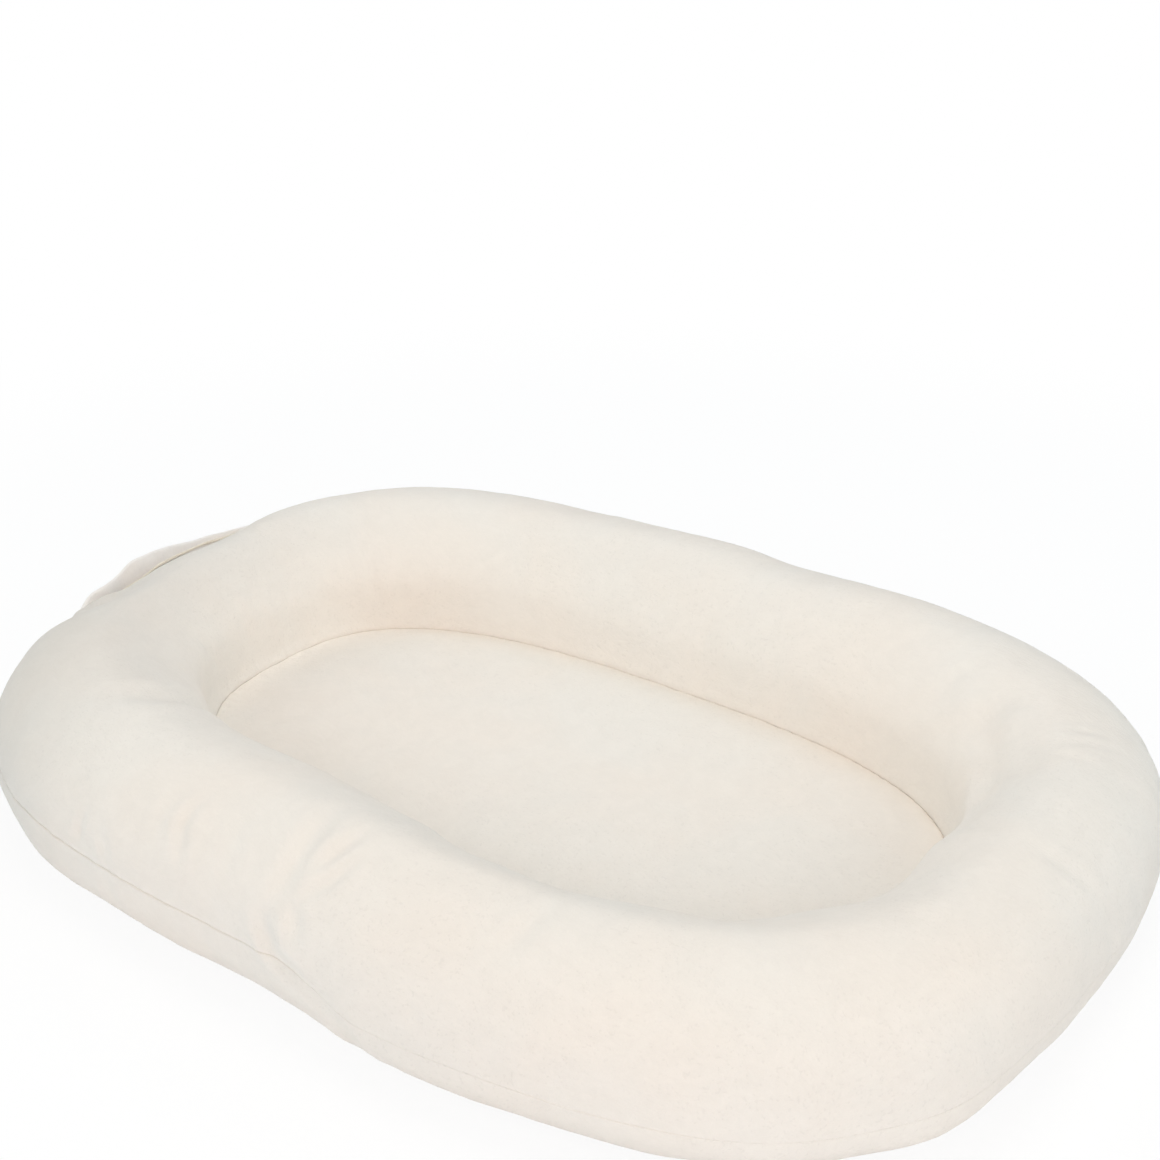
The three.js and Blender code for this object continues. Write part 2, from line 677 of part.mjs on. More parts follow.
upperCover();
lowerCover();
sleepPanel();
bolsterLiner();
bolsterFill();
padLiner();
padCore();
innerSeamTape();
for (const [word, side] of [["near", -1], ["far", 1]]) {
  basePanel("base_panel_" + word, side);
  zipTape("zip_tape_" + word, side);
  zipCoil("zip_coil_" + word, side);
  handleEnd("handle_end_" + word, side);
  handleStitch("handle_stitch_" + word, side);
}
zipStop("zip_stop_closed", 1);
zipStop("zip_stop_open", -1);
zipSlider();
zipPull();
handleGrip();
handleWebbing();

export default lounger;
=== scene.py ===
# The infant lounger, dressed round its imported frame. Metres, +X towards the foot end, +Z up.
import math

import bmesh
import bpy
import numpy as np
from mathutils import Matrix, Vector

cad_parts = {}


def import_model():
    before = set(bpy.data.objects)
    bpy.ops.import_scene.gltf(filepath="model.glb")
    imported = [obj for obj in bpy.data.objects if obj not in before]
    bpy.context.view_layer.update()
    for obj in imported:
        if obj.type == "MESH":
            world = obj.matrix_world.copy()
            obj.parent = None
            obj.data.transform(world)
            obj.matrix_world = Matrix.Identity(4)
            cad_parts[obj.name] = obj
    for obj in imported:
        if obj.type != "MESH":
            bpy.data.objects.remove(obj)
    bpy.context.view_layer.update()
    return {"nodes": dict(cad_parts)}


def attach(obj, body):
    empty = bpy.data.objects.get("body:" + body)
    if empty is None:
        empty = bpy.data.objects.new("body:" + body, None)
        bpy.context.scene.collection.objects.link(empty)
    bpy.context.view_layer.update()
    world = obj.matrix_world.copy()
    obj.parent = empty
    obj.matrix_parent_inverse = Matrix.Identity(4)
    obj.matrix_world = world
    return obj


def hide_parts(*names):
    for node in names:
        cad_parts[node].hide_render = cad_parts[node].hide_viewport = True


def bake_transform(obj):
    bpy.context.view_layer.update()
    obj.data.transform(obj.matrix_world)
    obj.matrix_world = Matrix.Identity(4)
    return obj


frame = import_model()

# The rim's plan and section, as the part's source has them
RIM_LENGTH = 0.880
RIM_WIDTH = 0.660
RIM_HEIGHT = 0.128
WIDEST_HEIGHT = 0.0535
FOOT_CUT = 0.0005
SLEEP_LENGTH = 0.615
SLEEP_WIDTH = 0.330
RIM_OVERHANG = 0.0015
RIM_OVAL_POWER = 3.08
SLEEP_OVAL_POWER = 2.77
INNER_SLOPE_POWER = 1.5
OUTER_SHOULDER_POWER = 2.1
UNDERSIDE_POWER = 2.45

# Seams and the sleeping surface
SEAM_HEIGHT = 0.034
SLEEP_CROWN = 0.005
SLEEP_EDGE_FALL = 0.0012
SIDE_SEAM_HEAD_HEIGHT = 0.066
SIDE_SEAM_FOOT_HEIGHT = 0.051
SIDE_SEAM_DROP_START = 0.005
SIDE_SEAM_DROP_LENGTH = 0.095
PLUSH = 0.003
CLEARANCE = 0.0003
BASE_HEIGHT = 0.009
WOVEN = 0.0012
COVER_HEM = 0.006
SEAM_TUCK = 0.008

# Strap
STRAP_SPAN = 0.180
STRAP_WIDTH = 0.041
STRAP_END_LENGTH = 0.027
STRAP_END_HEIGHT = 0.0775
STRAP_CLING_HEIGHT = 0.086
STRAP_LEAN = 0.25
STRAP_STANDOFF = 0.0055
STRAP_OFFSET = 0.004
STRAP_BOW_POWER = 2.4

# Fineness of the meshes
STATION_COUNT = 880
UPPER_RING_COUNT = 84
LOWER_RING_COUNT = 52
ARC_SAMPLE_COUNT = 240
COARSE_RATIO = 4
COARSE_COUNT = STATION_COUNT // COARSE_RATIO

LENGTH_OVAL = (RIM_LENGTH / 2, RIM_WIDTH / 2, RIM_OVAL_POWER)
SLEEP_OVAL = (SLEEP_LENGTH / 2, SLEEP_WIDTH / 2, SLEEP_OVAL_POWER)
BASE_TOP = BASE_HEIGHT + WOVEN
FULL_TURN = 2 * math.pi
OVAL_SAMPLE_RATIO = 40
TINY = 1e-12


# Surface of the rim
def signed_power(value, power):
    return np.sign(value) * np.abs(value) ** power


def smooth_step(value):
    share = np.clip(value, 0, 1)
    return share * share * (3 - 2 * share)


def oval_point(oval, turn):
    """Places in plan on a rounded oblong, at turns from +X over +Y."""
    half_length, half_width, power = oval
    x = half_length * signed_power(np.cos(turn), 2 / power)
    y = half_width * signed_power(np.sin(turn), 2 / power)
    return np.stack([x, y], axis=-1)


def even_turns(count):
    """Turns that part the outer oval into equal lengths, starting at the middle of the foot end."""
    fine = np.linspace(0, FULL_TURN, count * OVAL_SAMPLE_RATIO + 1)
    steps = np.linalg.norm(np.diff(oval_point(LENGTH_OVAL, fine), axis=0), axis=1)
    lengths = np.concatenate([[0], np.cumsum(steps)])
    return np.interp(np.arange(count) / count * lengths[-1], lengths, fine)


def unit(vectors):
    return vectors / np.maximum(np.linalg.norm(vectors, axis=-1, keepdims=True), TINY)


def section_frame(turn):
    """For each turn, the middle of the section in plan, the way outwards and half the section's width."""
    outer = oval_point(LENGTH_OVAL, turn)
    inner = oval_point(SLEEP_OVAL, turn)
    outward = unit(outer - inner)
    edge = inner - outward * RIM_OVERHANG
    half = np.linalg.norm(outer - edge, axis=-1) / 2
    return (outer + edge) / 2, outward, half


def section_place(half, angle):
    """Reach from the section's middle and height. The angle is 0 straight out, 90 degrees at the crest."""
    rising = np.sin(angle) > 0
    upper_power = np.where(np.cos(angle) > 0, OUTER_SHOULDER_POWER, INNER_SLOPE_POWER)
    power = np.where(rising, upper_power, UNDERSIDE_POWER)
    tall = np.where(rising, RIM_HEIGHT - WIDEST_HEIGHT, WIDEST_HEIGHT + FOOT_CUT)
    reach = half * signed_power(np.cos(angle), 2 / power)
    return reach, WIDEST_HEIGHT + tall * signed_power(np.sin(angle), 2 / power)


def with_height(plan, z):
    """Points from places in plan and their heights."""
    return np.concatenate([plan, np.broadcast_to(z, plan.shape[:-1])[..., None]], axis=-1)


def rim_point(turn, angle):
    """Points of the rim's surface, at turns round it and section angles."""
    turn, angle = np.broadcast_arrays(turn, angle)
    middle, outward, half = section_frame(turn)
    reach, z = section_place(half, angle)
    return with_height(middle + outward * reach[..., None], np.maximum(z, 0))


def outer_angle(height):
    """The section angle at a height on the rim's outer flank."""
    height = np.asarray(height, float)
    above = np.clip((height - WIDEST_HEIGHT) / (RIM_HEIGHT - WIDEST_HEIGHT), 0, 1)
    below = np.clip((WIDEST_HEIGHT - height) / (WIDEST_HEIGHT + FOOT_CUT), 0, 1)
    up = np.arcsin(above ** (OUTER_SHOULDER_POWER / 2))
    down = np.arcsin(below ** (UNDERSIDE_POWER / 2))
    return up - down


def inner_angle(height):
    """The section angle at a height on the rim's inner wall, below where it is widest."""
    share = (WIDEST_HEIGHT - height) / (WIDEST_HEIGHT + FOOT_CUT)
    return math.pi + math.asin(share ** (UNDERSIDE_POWER / 2))


def side_seam_angle(turn):
    x = oval_point(LENGTH_OVAL, turn)[..., 0]
    drop = smooth_step((x - SIDE_SEAM_DROP_START) / SIDE_SEAM_DROP_LENGTH)
    return outer_angle(SIDE_SEAM_HEAD_HEIGHT + drop * (SIDE_SEAM_FOOT_HEIGHT - SIDE_SEAM_HEAD_HEIGHT))


EDGE_DIP = 0.0009
EDGE_DIP_WIDTH = 0.0030
EDGE_HEIGHT = SEAM_HEIGHT - SLEEP_EDGE_FALL - EDGE_DIP
INNER_SEAM_ANGLE = inner_angle(SEAM_HEIGHT)
EDGE_ANGLE = inner_angle(EDGE_HEIGHT)
TUCK_ANGLE = inner_angle(SEAM_HEIGHT - SEAM_TUCK)
HEM_ANGLE = inner_angle(BASE_TOP + COVER_HEM)
TURNS = even_turns(STATION_COUNT)


# Noise that is the same every run
LATTICE_SIZE = 32
NOISE_SEEDS = (11, 12, 13, 14)


def lattice(seed):
    return np.random.default_rng(seed).random((LATTICE_SIZE,) * 3) * 2 - 1


def value_noise(points, cell, table):
    """Smooth noise from -1 to 1 at points, with features of about the cell's size."""
    grid = np.asarray(points) / cell
    low = np.floor(grid).astype(int)
    share = smooth_step(grid - low)
    total = np.zeros(grid.shape[:-1])
    for corner in np.ndindex(2, 2, 2):
        weight = np.ones(grid.shape[:-1])
        for axis in range(3):
            weight = weight * (share[..., axis] if corner[axis] else 1 - share[..., axis])
        index = (low + corner) % LATTICE_SIZE
        total += weight * table[index[..., 0], index[..., 1], index[..., 2]]
    return total


BROAD_TABLE, MIDDLE_TABLE, FINE_TABLE, PUCKER_TABLE = (lattice(seed) for seed in NOISE_SEEDS)


def layered_noise(points, layers):
    """Noise in layers of a height, a cell and a table each."""
    return sum(height * value_noise(points, cell, table) for height, cell, table in layers)


# Mesh helpers
def grid_faces(rows, columns, closed=True, first=0):
    """Quads of a grid of rows by columns, whose columns close into a ring or not."""
    row = np.arange(rows - 1)[:, None]
    column = np.arange(columns if closed else columns - 1)[None, :]
    after = (column + 1) % columns
    low, high = row * columns + first, (row + 1) * columns + first
    corners = np.broadcast_arrays(low + column, low + after, high + after, high + column)
    return np.stack(corners, axis=-1).reshape(-1, 4).tolist()


def bridge_faces(fine, coarse):
    """Faces between a ring of fine points and a ring of coarse ones that divides its count."""
    ratio = len(fine) // len(coarse)
    faces = []
    for index, corner in enumerate(coarse):
        after = coarse[(index + 1) % len(coarse)]
        for step in range(ratio):
            one = fine[index * ratio + step]
            two = fine[(index * ratio + step + 1) % len(fine)]
            faces.append([one, two, corner if step < ratio / 2 else after])
            if step + 1 == (ratio + 1) // 2:
                faces.append([two, after, corner])
    return faces


def place_object(name, data):
    thing = bpy.data.objects.new(name, data)
    bpy.context.scene.collection.objects.link(thing)
    return thing


def mesh_object(name, points, faces, finish):
    """A closed mesh with its faces turned outwards, in one of the FINISHES."""
    mesh = bpy.data.meshes.new(name)
    mesh.from_pydata(np.asarray(points).reshape(-1, 3).tolist(), [], faces)
    mesh.validate()
    shape = bmesh.new()
    shape.from_mesh(mesh)
    bmesh.ops.recalc_face_normals(shape, faces=shape.faces)
    if shape.calc_volume(signed=True) < 0:
        bmesh.ops.reverse_faces(shape, faces=shape.faces)
    shape.to_mesh(mesh)
    shape.free()
    mesh.polygons.foreach_set("use_smooth", [True] * len(mesh.polygons))
    mesh.materials.append(FINISHES[finish])
    return place_object(name, mesh)


def grid_normals(points):
    """Normals of a grid, rows by columns, whose columns close into a ring."""
    along = np.roll(points, -1, axis=1) - np.roll(points, 1, axis=1)
    across = np.gradient(points, axis=0)
    return unit(np.cross(along, across))


def seam_spacing(count, ease):
    """Shares from 0 to 1 that lie closer together at both ends."""
    even = np.linspace(0, 1, count)
    return even - ease * np.sin(FULL_TURN * even) / FULL_TURN


def even_arc_angles(turns, start, stop, shares):
    """For each turn, the section angles at these shares of the arc from start to stop, and its length."""
    fine = start[None, :] + (stop - start)[None, :] * np.linspace(0, 1, ARC_SAMPLE_COUNT)[:, None]
    points = rim_point(turns[None, :], fine)
    steps = np.linalg.norm(np.diff(points, axis=0), axis=-1)
    lengths = np.concatenate([np.zeros((1, steps.shape[1])), np.cumsum(steps, axis=0)])
    angles = np.empty((len(shares), steps.shape[1]))
    for column in range(steps.shape[1]):
        angles[:, column] = np.interp(shares * lengths[-1, column], lengths[:, column], fine[:, column])
    return angles, lengths[-1]


def seam_roll(distance, radius):
    """How far a sheet has rolled inwards at a distance from its seam: a quarter of a circle."""
    share = np.clip(1 - distance / radius, 0, 1)
    return radius * (1 - np.sqrt(1 - share ** 2))


# Swells: where the stuffing stands a little fuller or slacker than the even section. Each band has a section
# angle and a spread in degrees, and places: a share of the way round from the foot end over the far side, and
# a height in millimetres. The bands: below the side seam, above it, the inner slope, and behind the strap.
MILLIMETRE = 0.001
SWELL_BANDS = [
    (-20, 34, [
        (0.00, 1.0), (0.008, 2.2), (0.017, 3.0), (0.03, 1.6), (0.08, -0.8), (0.25, 0.5), (0.40, -1.0),
        (0.50, -1.5), (0.60, -0.5), (0.625, -1.6), (0.637, -2.6), (0.648, 0.4), (0.659, 2.0), (0.67, -0.6),
        (0.69, -3.6), (0.715, -4.4), (0.73, -6.8), (0.743, -6.0), (0.755, -4.6), (0.769, -2.6),
        (0.782, 0.2), (0.80, 1.4), (0.815, 0.4), (0.83, -3.2), (0.85, -3.0), (0.862, -1.2), (0.885, -1.0),
        (0.898, -2.0), (0.909, -3.6), (0.918, -0.6), (0.928, 2.4), (0.94, 1.0), (0.95, -1.6),
        (0.9625, -3.4), (0.972, -1.4), (0.982, 1.2), (0.99, 1.4),
    ]),
    (66, 36, [
        (0.03, 0), (0.081, -4.6), (0.11, -1.2), (0.144, 2.2), (0.18, 1.2), (0.205, -2.4), (0.2125, -3.8),
        (0.225, -5.0), (0.235, -5.6), (0.242, -4.0), (0.249, -0.8), (0.256, -0.6), (0.27, -1.2),
        (0.296, -3.6), (0.322, -4.4), (0.35, -1.6), (0.38, 0), (0.43, -0.4), (0.50, -1.0), (0.60, 0),
        (0.70, 0.5), (0.755, -1.2), (0.80, 0.8), (0.90, 0.5), (0.96, 0),
    ]),
    (136, 24, [
        (0.00, 7.0), (0.03, 3.0), (0.055, -2.0), (0.09, 0), (0.20, 0.8), (0.30, -0.8), (0.45, 0.5),
        (0.60, 0), (0.64, 1.0), (0.68, 6.0), (0.71, 8.0), (0.745, 4.2), (0.767, 1.8), (0.79, -6.0),
        (0.81, -5.0), (0.83, -6.8), (0.845, -3.4), (0.857, -1.0), (0.87, -2.8), (0.882, -5.8),
        (0.895, -1.4), (0.913, 4.0), (0.93, 2.4), (0.945, 1.4), (0.96, 3.0), (0.977, 6.8), (0.99, 8.2),
    ]),
    (62, 27, [
        (0.425, 0), (0.438, 1.1), (0.449, 0.8), (0.457, 0.6), (0.4636, -0.4), (0.471, -3.2), (0.481, -5.2),
        (0.494, -4.8), (0.503, -3.9), (0.511, -3.6), (0.523, -7.6), (0.532, -13.0), (0.538, -16.2),
        (0.545, -15.8), (0.551, -13.2), (0.558, -7.5), (0.57, -1.6), (0.585, -0.6), (0.60, 0),
    ]),
]
SWELL_SAMPLE_COUNT = 1024
SWELL_SMOOTHING_SHARE = 0.006
ROUND_SHARES = np.arange(SWELL_SAMPLE_COUNT + 1) / SWELL_SAMPLE_COUNT
ROUND_TURNS = np.append(even_turns(SWELL_SAMPLE_COUNT), FULL_TURN)


def swell_curve(places):
    """Heights round the rim in metres, smoothed, at evenly spaced shares."""
    at = ROUND_SHARES[:-1]
    shares, heights = np.transpose(places)
    raw = np.interp(at, shares, heights * MILLIMETRE, period=1)
    kernel = np.exp(-(np.minimum(at, 1 - at) / SWELL_SMOOTHING_SHARE) ** 2)
    kernel /= kernel.sum()
    return np.real(np.fft.ifft(np.fft.fft(raw) * np.fft.fft(kernel)))


def round_share(turn):
    """The share of the way round the outer oval at a turn."""
    return np.interp(np.mod(turn, FULL_TURN), ROUND_TURNS, ROUND_SHARES)


def share_turn(share):
    return np.interp(np.mod(share, 1), ROUND_SHARES, ROUND_TURNS)


SWELLS = [(*np.radians([angle, spread]), swell_curve(places)) for angle, spread, places in SWELL_BANDS]


def swell(shares, angles):
    """Height of the broad swells, in metres, at shares of the way round and section angles."""
    total = np.zeros(np.broadcast(shares, angles).shape)
    for centre, spread, curve in SWELLS:
        height = np.interp(shares, ROUND_SHARES[:-1], curve, period=1)
        total = total + height * np.exp(-((angles - centre) / spread) ** 2)
    return total


# Folds that the photograph shows. Each is a line of places, as a share of the way round and a section angle
# in degrees, with its depth and half width in millimetres.
FOLDS = [
    ([(0.7508, 28), (0.7533, 20), (0.7558, 11), (0.7633, 6), (0.7725, 1)], 3.8, 7),
    ([(0.6790, 34), (0.6805, 22), (0.6810, 14)], 1.8, 5),
    ([(0.6890, 28), (0.6925, 20), (0.6945, 13)], 1.5, 5),
    ([(0.7112, 66), (0.7118, 58), (0.7131, 50), (0.7160, 43), (0.7196, 34)], 2.8, 5),
    ([(0.7030, 60), (0.7050, 50), (0.7080, 40)], 1.0, 6),
    ([(0.7270, 70), (0.7333, 47), (0.7360, 36)], 1.2, 7),
    ([(0.7492, 105), (0.7500, 86), (0.7517, 70), (0.7533, 57), (0.7533, 44), (0.7525, 33)], 3.0, 8),
    ([(0.7655, 86), (0.7633, 72), (0.7610, 62)], 3.2, 6),
    ([(0.7700, 70), (0.7667, 57), (0.7620, 49)], 2.8, 5),
    ([(0.7490, 30), (0.7512, 21), (0.7530, 15)], 1.2, 6),
    ([(0.8300, 86), (0.8250, 68), (0.8200, 56)], 2.2, 7),
    ([(0.7585, 40), (0.7612, 33), (0.7630, 27)], 2.2, 6),
    ([(0.0000, 131), (0.0225, 135), (0.0575, 141), (0.0794, 135), (0.0981, 129), (0.1044, 127)], 2.8, 11),
    ([(0.0980, 134), (0.1020, 124), (0.1065, 110)], 2.4, 13),
    ([(0.0750, 92), (0.0767, 66)], 0.7, 4),
    ([(0.0658, 98), (0.0692, 60)], 0.8, 5),
    ([(0.0583, 104), (0.0542, 73)], 0.7, 5),
    ([(0.9950, 76), (0.9962, 62), (0.0010, 46)], 1.4, 7),
    ([(0.0120, 140), (0.0050, 126), (0.9935, 94)], 1.1, 7),
    ([(0.1217, 138), (0.1275, 121), (0.1280, 106)], 1.2, 8),
    ([(0.6142, 163), (0.6275, 145), (0.6350, 127), (0.6408, 108), (0.6408, 88)], 4.2, 13),
    ([(0.8340, 12), (0.8450, 10), (0.8620, 6)], 1.5, 9),
    ([(0.6933, 6), (0.6940, -20)], 1.6, 8),
    ([(0.7290, 6), (0.7320, -22)], 1.6, 9),
    ([(0.7725, 1), (0.7800, -14), (0.7830, -30)], 2.2, 9),
    ([(0.0030, 12), (0.0040, -8)], 1.2, 7),
]
SMALL_FOLD_COUNT = 70
SMALL_FOLD_SEED = 5
SMALL_FOLD_LEAN_SHARE = 0.0035
SMALL_FOLD_BEND = 1.6
OUTER_FOLD_SHARE = 0.55
OUTER_FOLD_STARTS, OUTER_FOLD_STOPS = (6, 14), (24, 52)
INNER_FOLD_STARTS, INNER_FOLD_STOPS = (160, 176), (120, 150)
SMALL_FOLD_DEPTHS, SMALL_FOLD_WIDTHS = (0.25, 0.8), (4.5, 9)
FOLD_SAMPLE_COUNT = 40
FOLD_REACH = 3
FOLD_END_SHARE = 0.12
FOLD_TAPER_POWER = 1.2
FOLD_LIP_SHARE = 0.4
FOLD_LIP_PLACE = 1.7
FOLD_LIP_SPREAD = 0.6


def small_folds():
    """Short, shallow folds across the rim beside its two seams, scattered over the whole way round."""
    rng = np.random.default_rng(SMALL_FOLD_SEED)
    made = []
    for _ in range(SMALL_FOLD_COUNT):
        share = rng.random()
        lean = rng.normal(0, SMALL_FOLD_LEAN_SHARE)
        outer = rng.random() < OUTER_FOLD_SHARE
        start = rng.uniform(*(OUTER_FOLD_STARTS if outer else INNER_FOLD_STARTS))
        stop = rng.uniform(*(OUTER_FOLD_STOPS if outer else INNER_FOLD_STOPS))
        depth = rng.uniform(*SMALL_FOLD_DEPTHS)
        places = [(share, start), (share + lean, (start + stop) / 2), (share + SMALL_FOLD_BEND * lean, stop)]
        made.append((places, depth, rng.uniform(*SMALL_FOLD_WIDTHS)))
    return made


ALL_FOLDS = FOLDS + small_folds()


def fold_line(places):
    """Points along a fold's line on the plain rim."""
    steps = np.linspace(0, 1, len(places))
    along = np.linspace(0, 1, FOLD_SAMPLE_COUNT)
    shares, degrees = np.transpose(places)
    shares = np.unwrap(shares * FULL_TURN) / FULL_TURN
    turns = share_turn(np.interp(along, steps, shares))
    return along, rim_point(turns, np.radians(np.interp(along, steps, degrees)))


def fold_depth(points):
    """How deep the folds lie at points near the rim, in metres."""
    flat = points.reshape(-1, 3)
    total = np.zeros(len(flat))
    for places, depth, width in ALL_FOLDS:
        along, line = fold_line(places)
        half = width * MILLIMETRE
        reach = FOLD_REACH * half
        near = np.all((flat > line.min(axis=0) - reach) & (flat < line.max(axis=0) + reach), axis=1)
        if not near.any():
            continue
        gaps = np.linalg.norm(flat[near][:, None, :] - line[None], axis=-1)
        closest = gaps.argmin(axis=1)
        gap = gaps.min(axis=1) / half
        middle = FOLD_END_SHARE + (1 - 2 * FOLD_END_SHARE) * along[closest]
        taper = np.sin(math.pi * middle) ** FOLD_TAPER_POWER
        valley = np.exp(-gap ** 2)
        lip = FOLD_LIP_SHARE * np.exp(-(gap - FOLD_LIP_PLACE) ** 2 / FOLD_LIP_SPREAD)
        total[near] += depth * MILLIMETRE * taper * (valley - lip)
    return total.reshape(points.shape[:-1])


# Puckers, where the gathered cloth runs into a seam
PUCKER_CELL = 0.009
PUCKER_REACH = 0.012
PUCKER_STRETCH = (1, 1, 0.25)
PUCKER_FADE_POWER = 1.5


def puckers(points, distance, height):
    """Ripples of this height, which fade with the distance from the seam."""
    wave = value_noise(points * np.array(PUCKER_STRETCH), PUCKER_CELL, PUCKER_TABLE)
    ripple = 1 - 2 * np.abs(wave)
    return height * ripple * np.exp(-(distance / PUCKER_REACH) ** PUCKER_FADE_POWER)


# The inner wall leans back a little over the seam, where the plain section would bulge over it
WALL_LEAN = 0.15
WALL_BLEND = 0.004
WALL_LEAN_START = 0.010


def wall_lean(turns, angles):
    """How far the inner wall is drawn back, from the inner seam up to where the plain section leans."""
    half = section_frame(turns)[2]
    reach, z = section_place(half, angles)
    above = np.maximum(z - EDGE_HEIGHT, 0)
    beyond = section_place(half, EDGE_ANGLE)[0] - reach + WALL_LEAN * above
    blend = WALL_BLEND * smooth_step(above / WALL_LEAN_START)
    drawn = (beyond + np.sqrt(beyond ** 2 + blend ** 2)) / 2
    return np.where((angles > math.pi / 2) & (above > 0), drawn, 0)


# Noise on the stuffed rim: height, cell and table of each layer
RIM_UNEVENNESS = [(0.0013, 0.085, BROAD_TABLE), (0.0007, 0.034, MIDDLE_TABLE), (0.00022, 0.011, FINE_TABLE)]


# Materials
def add_node(tree, kind, inputs=None, **settings):
    """A shader node with these settings. Its inputs are values or sockets, by name or number."""
    made = tree.nodes.new("ShaderNode" + kind)
    for name, value in settings.items():
        setattr(made, name, value)
    for name, value in (inputs or {}).items():
        if isinstance(value, bpy.types.NodeSocket):
            tree.links.new(value, made.inputs[name])
        else:
            made.inputs[name].default_value = value
    return made


def math_node(tree, operation, one, two=0.0, three=0.0):
    return add_node(tree, "Math", {0: one, 1: two, 2: three}, operation=operation).outputs[0]


def product(tree, *values):
    """Sockets or values multiplied together."""
    total = values[0]
    for value in values[1:]:
        total = math_node(tree, "MULTIPLY", total, value)
    return total


def mix_colours(tree, share, one, two, **settings):
    """A colour between two, by a socket or value from 0 to 1."""
    inputs = {0: share}
    for index, colour in ((6, one), (7, two)):
        inputs[index] = colour if isinstance(colour, bpy.types.NodeSocket) else (*colour, 1)
    return add_node(tree, "Mix", inputs, data_type="RGBA", **settings).outputs[2]


def rescale(tree, value, low, high, to_low=0.0, to_high=1.0):
    inputs = {"Value": value, "From Min": low, "From Max": high, "To Min": to_low, "To Max": to_high}
    return add_node(tree, "MapRange", inputs, interpolation_type="SMOOTHSTEP").outputs["Result"]


def noise_outputs(tree, vector, scale, detail=2.0, roughness=0.5, distortion=0.0):
    inputs = {"Vector": vector, "Scale": scale, "Detail": detail, "Roughness": roughness}
    return add_node(tree, "TexNoise", {**inputs, "Distortion": distortion}).outputs


def noise(tree, *settings):
    return noise_outputs(tree, *settings)[0]


def stretched(tree, vector, factors):
    return add_node(tree, "VectorMath", {0: vector, 1: factors}, operation="MULTIPLY").outputs[0]


def warped(tree, place, scale, reach):
    """The place moved about by slow noise, so that patterns on it don't run straight."""
    drift = stretched(tree, noise_outputs(tree, place, scale)["Color"], (reach, reach, reach))
    return add_node(tree, "VectorMath", {0: place, 1: drift}, operation="ADD").outputs[0]


def new_material(name, roughness, specular):
    material = bpy.data.materials.new(name)
    material.use_nodes = True
    tree = material.node_tree
    shader = tree.nodes["Principled BSDF"]
    shader.inputs["Roughness"].default_value = roughness
    shader.inputs["Specular IOR Level"].default_value = specular
    place = add_node(tree, "TexCoord").outputs["Object"]
    return material, tree, shader, place


def bump(tree, shader, height, distance, strength):
    made = add_node(tree, "Bump", {"Height": height, "Distance": distance, "Strength": strength})
    tree.links.new(made.outputs[0], shader.inputs["Normal"])


# Where a noise mostly lies
NOISE_SPAN = (0.30, 0.70)

# Plush: scales of its noises and the levels that they bring to its colour
DRIFT_SCALE, DRIFT_REACH = 9.0, 0.05
TONE_SCALE = 8.0
NAP_STRETCH, NAP_NOISE, NAP_LEVELS = (1.0, 0.7, 1.3), (60.0, 3.0, 0.55, 0.4), (0.990, 1.008)
TUFT_STRETCH, TUFT_NOISE = (0.6, 1.1, 1.0), (230.0, 3.0, 0.6, 0.8)
TUFT_LEVEL, TUFT_LEVEL_RISE = 0.991, 0.014
PILE_NOISE, PILE_LEVELS, PILE_RELIEF_SHARE = (950.0, 2.0, 0.6), (0.992, 1.008), 0.5
MARK_NOISE, MARK_SPAN, MARK_LEVEL = (420.0, 1.0, 0.5, 0.3), (0.60, 0.72), 0.965
PATCH_NOISE, PATCH_SPAN, PATCH_LEVELS = (7.0, 1.0), (0.42, 0.58), (0.2, 1.0)
PLUSH_SPECULAR = 0.05
PLUSH_RELIEF, PLUSH_RELIEF_STRENGTH = 0.0005, 0.30
# Painted shade: the plush's colour is darkened towards the head end's outer side, standing in for the shade
# that the lamps leave there
HEAD_SHADE_WAY = (-0.85, -0.4, 0)
HEAD_SHADE_START = 0.25
HEAD_SHADE_FULL = 0.40
HEAD_SHADE_LEAST = 0.86


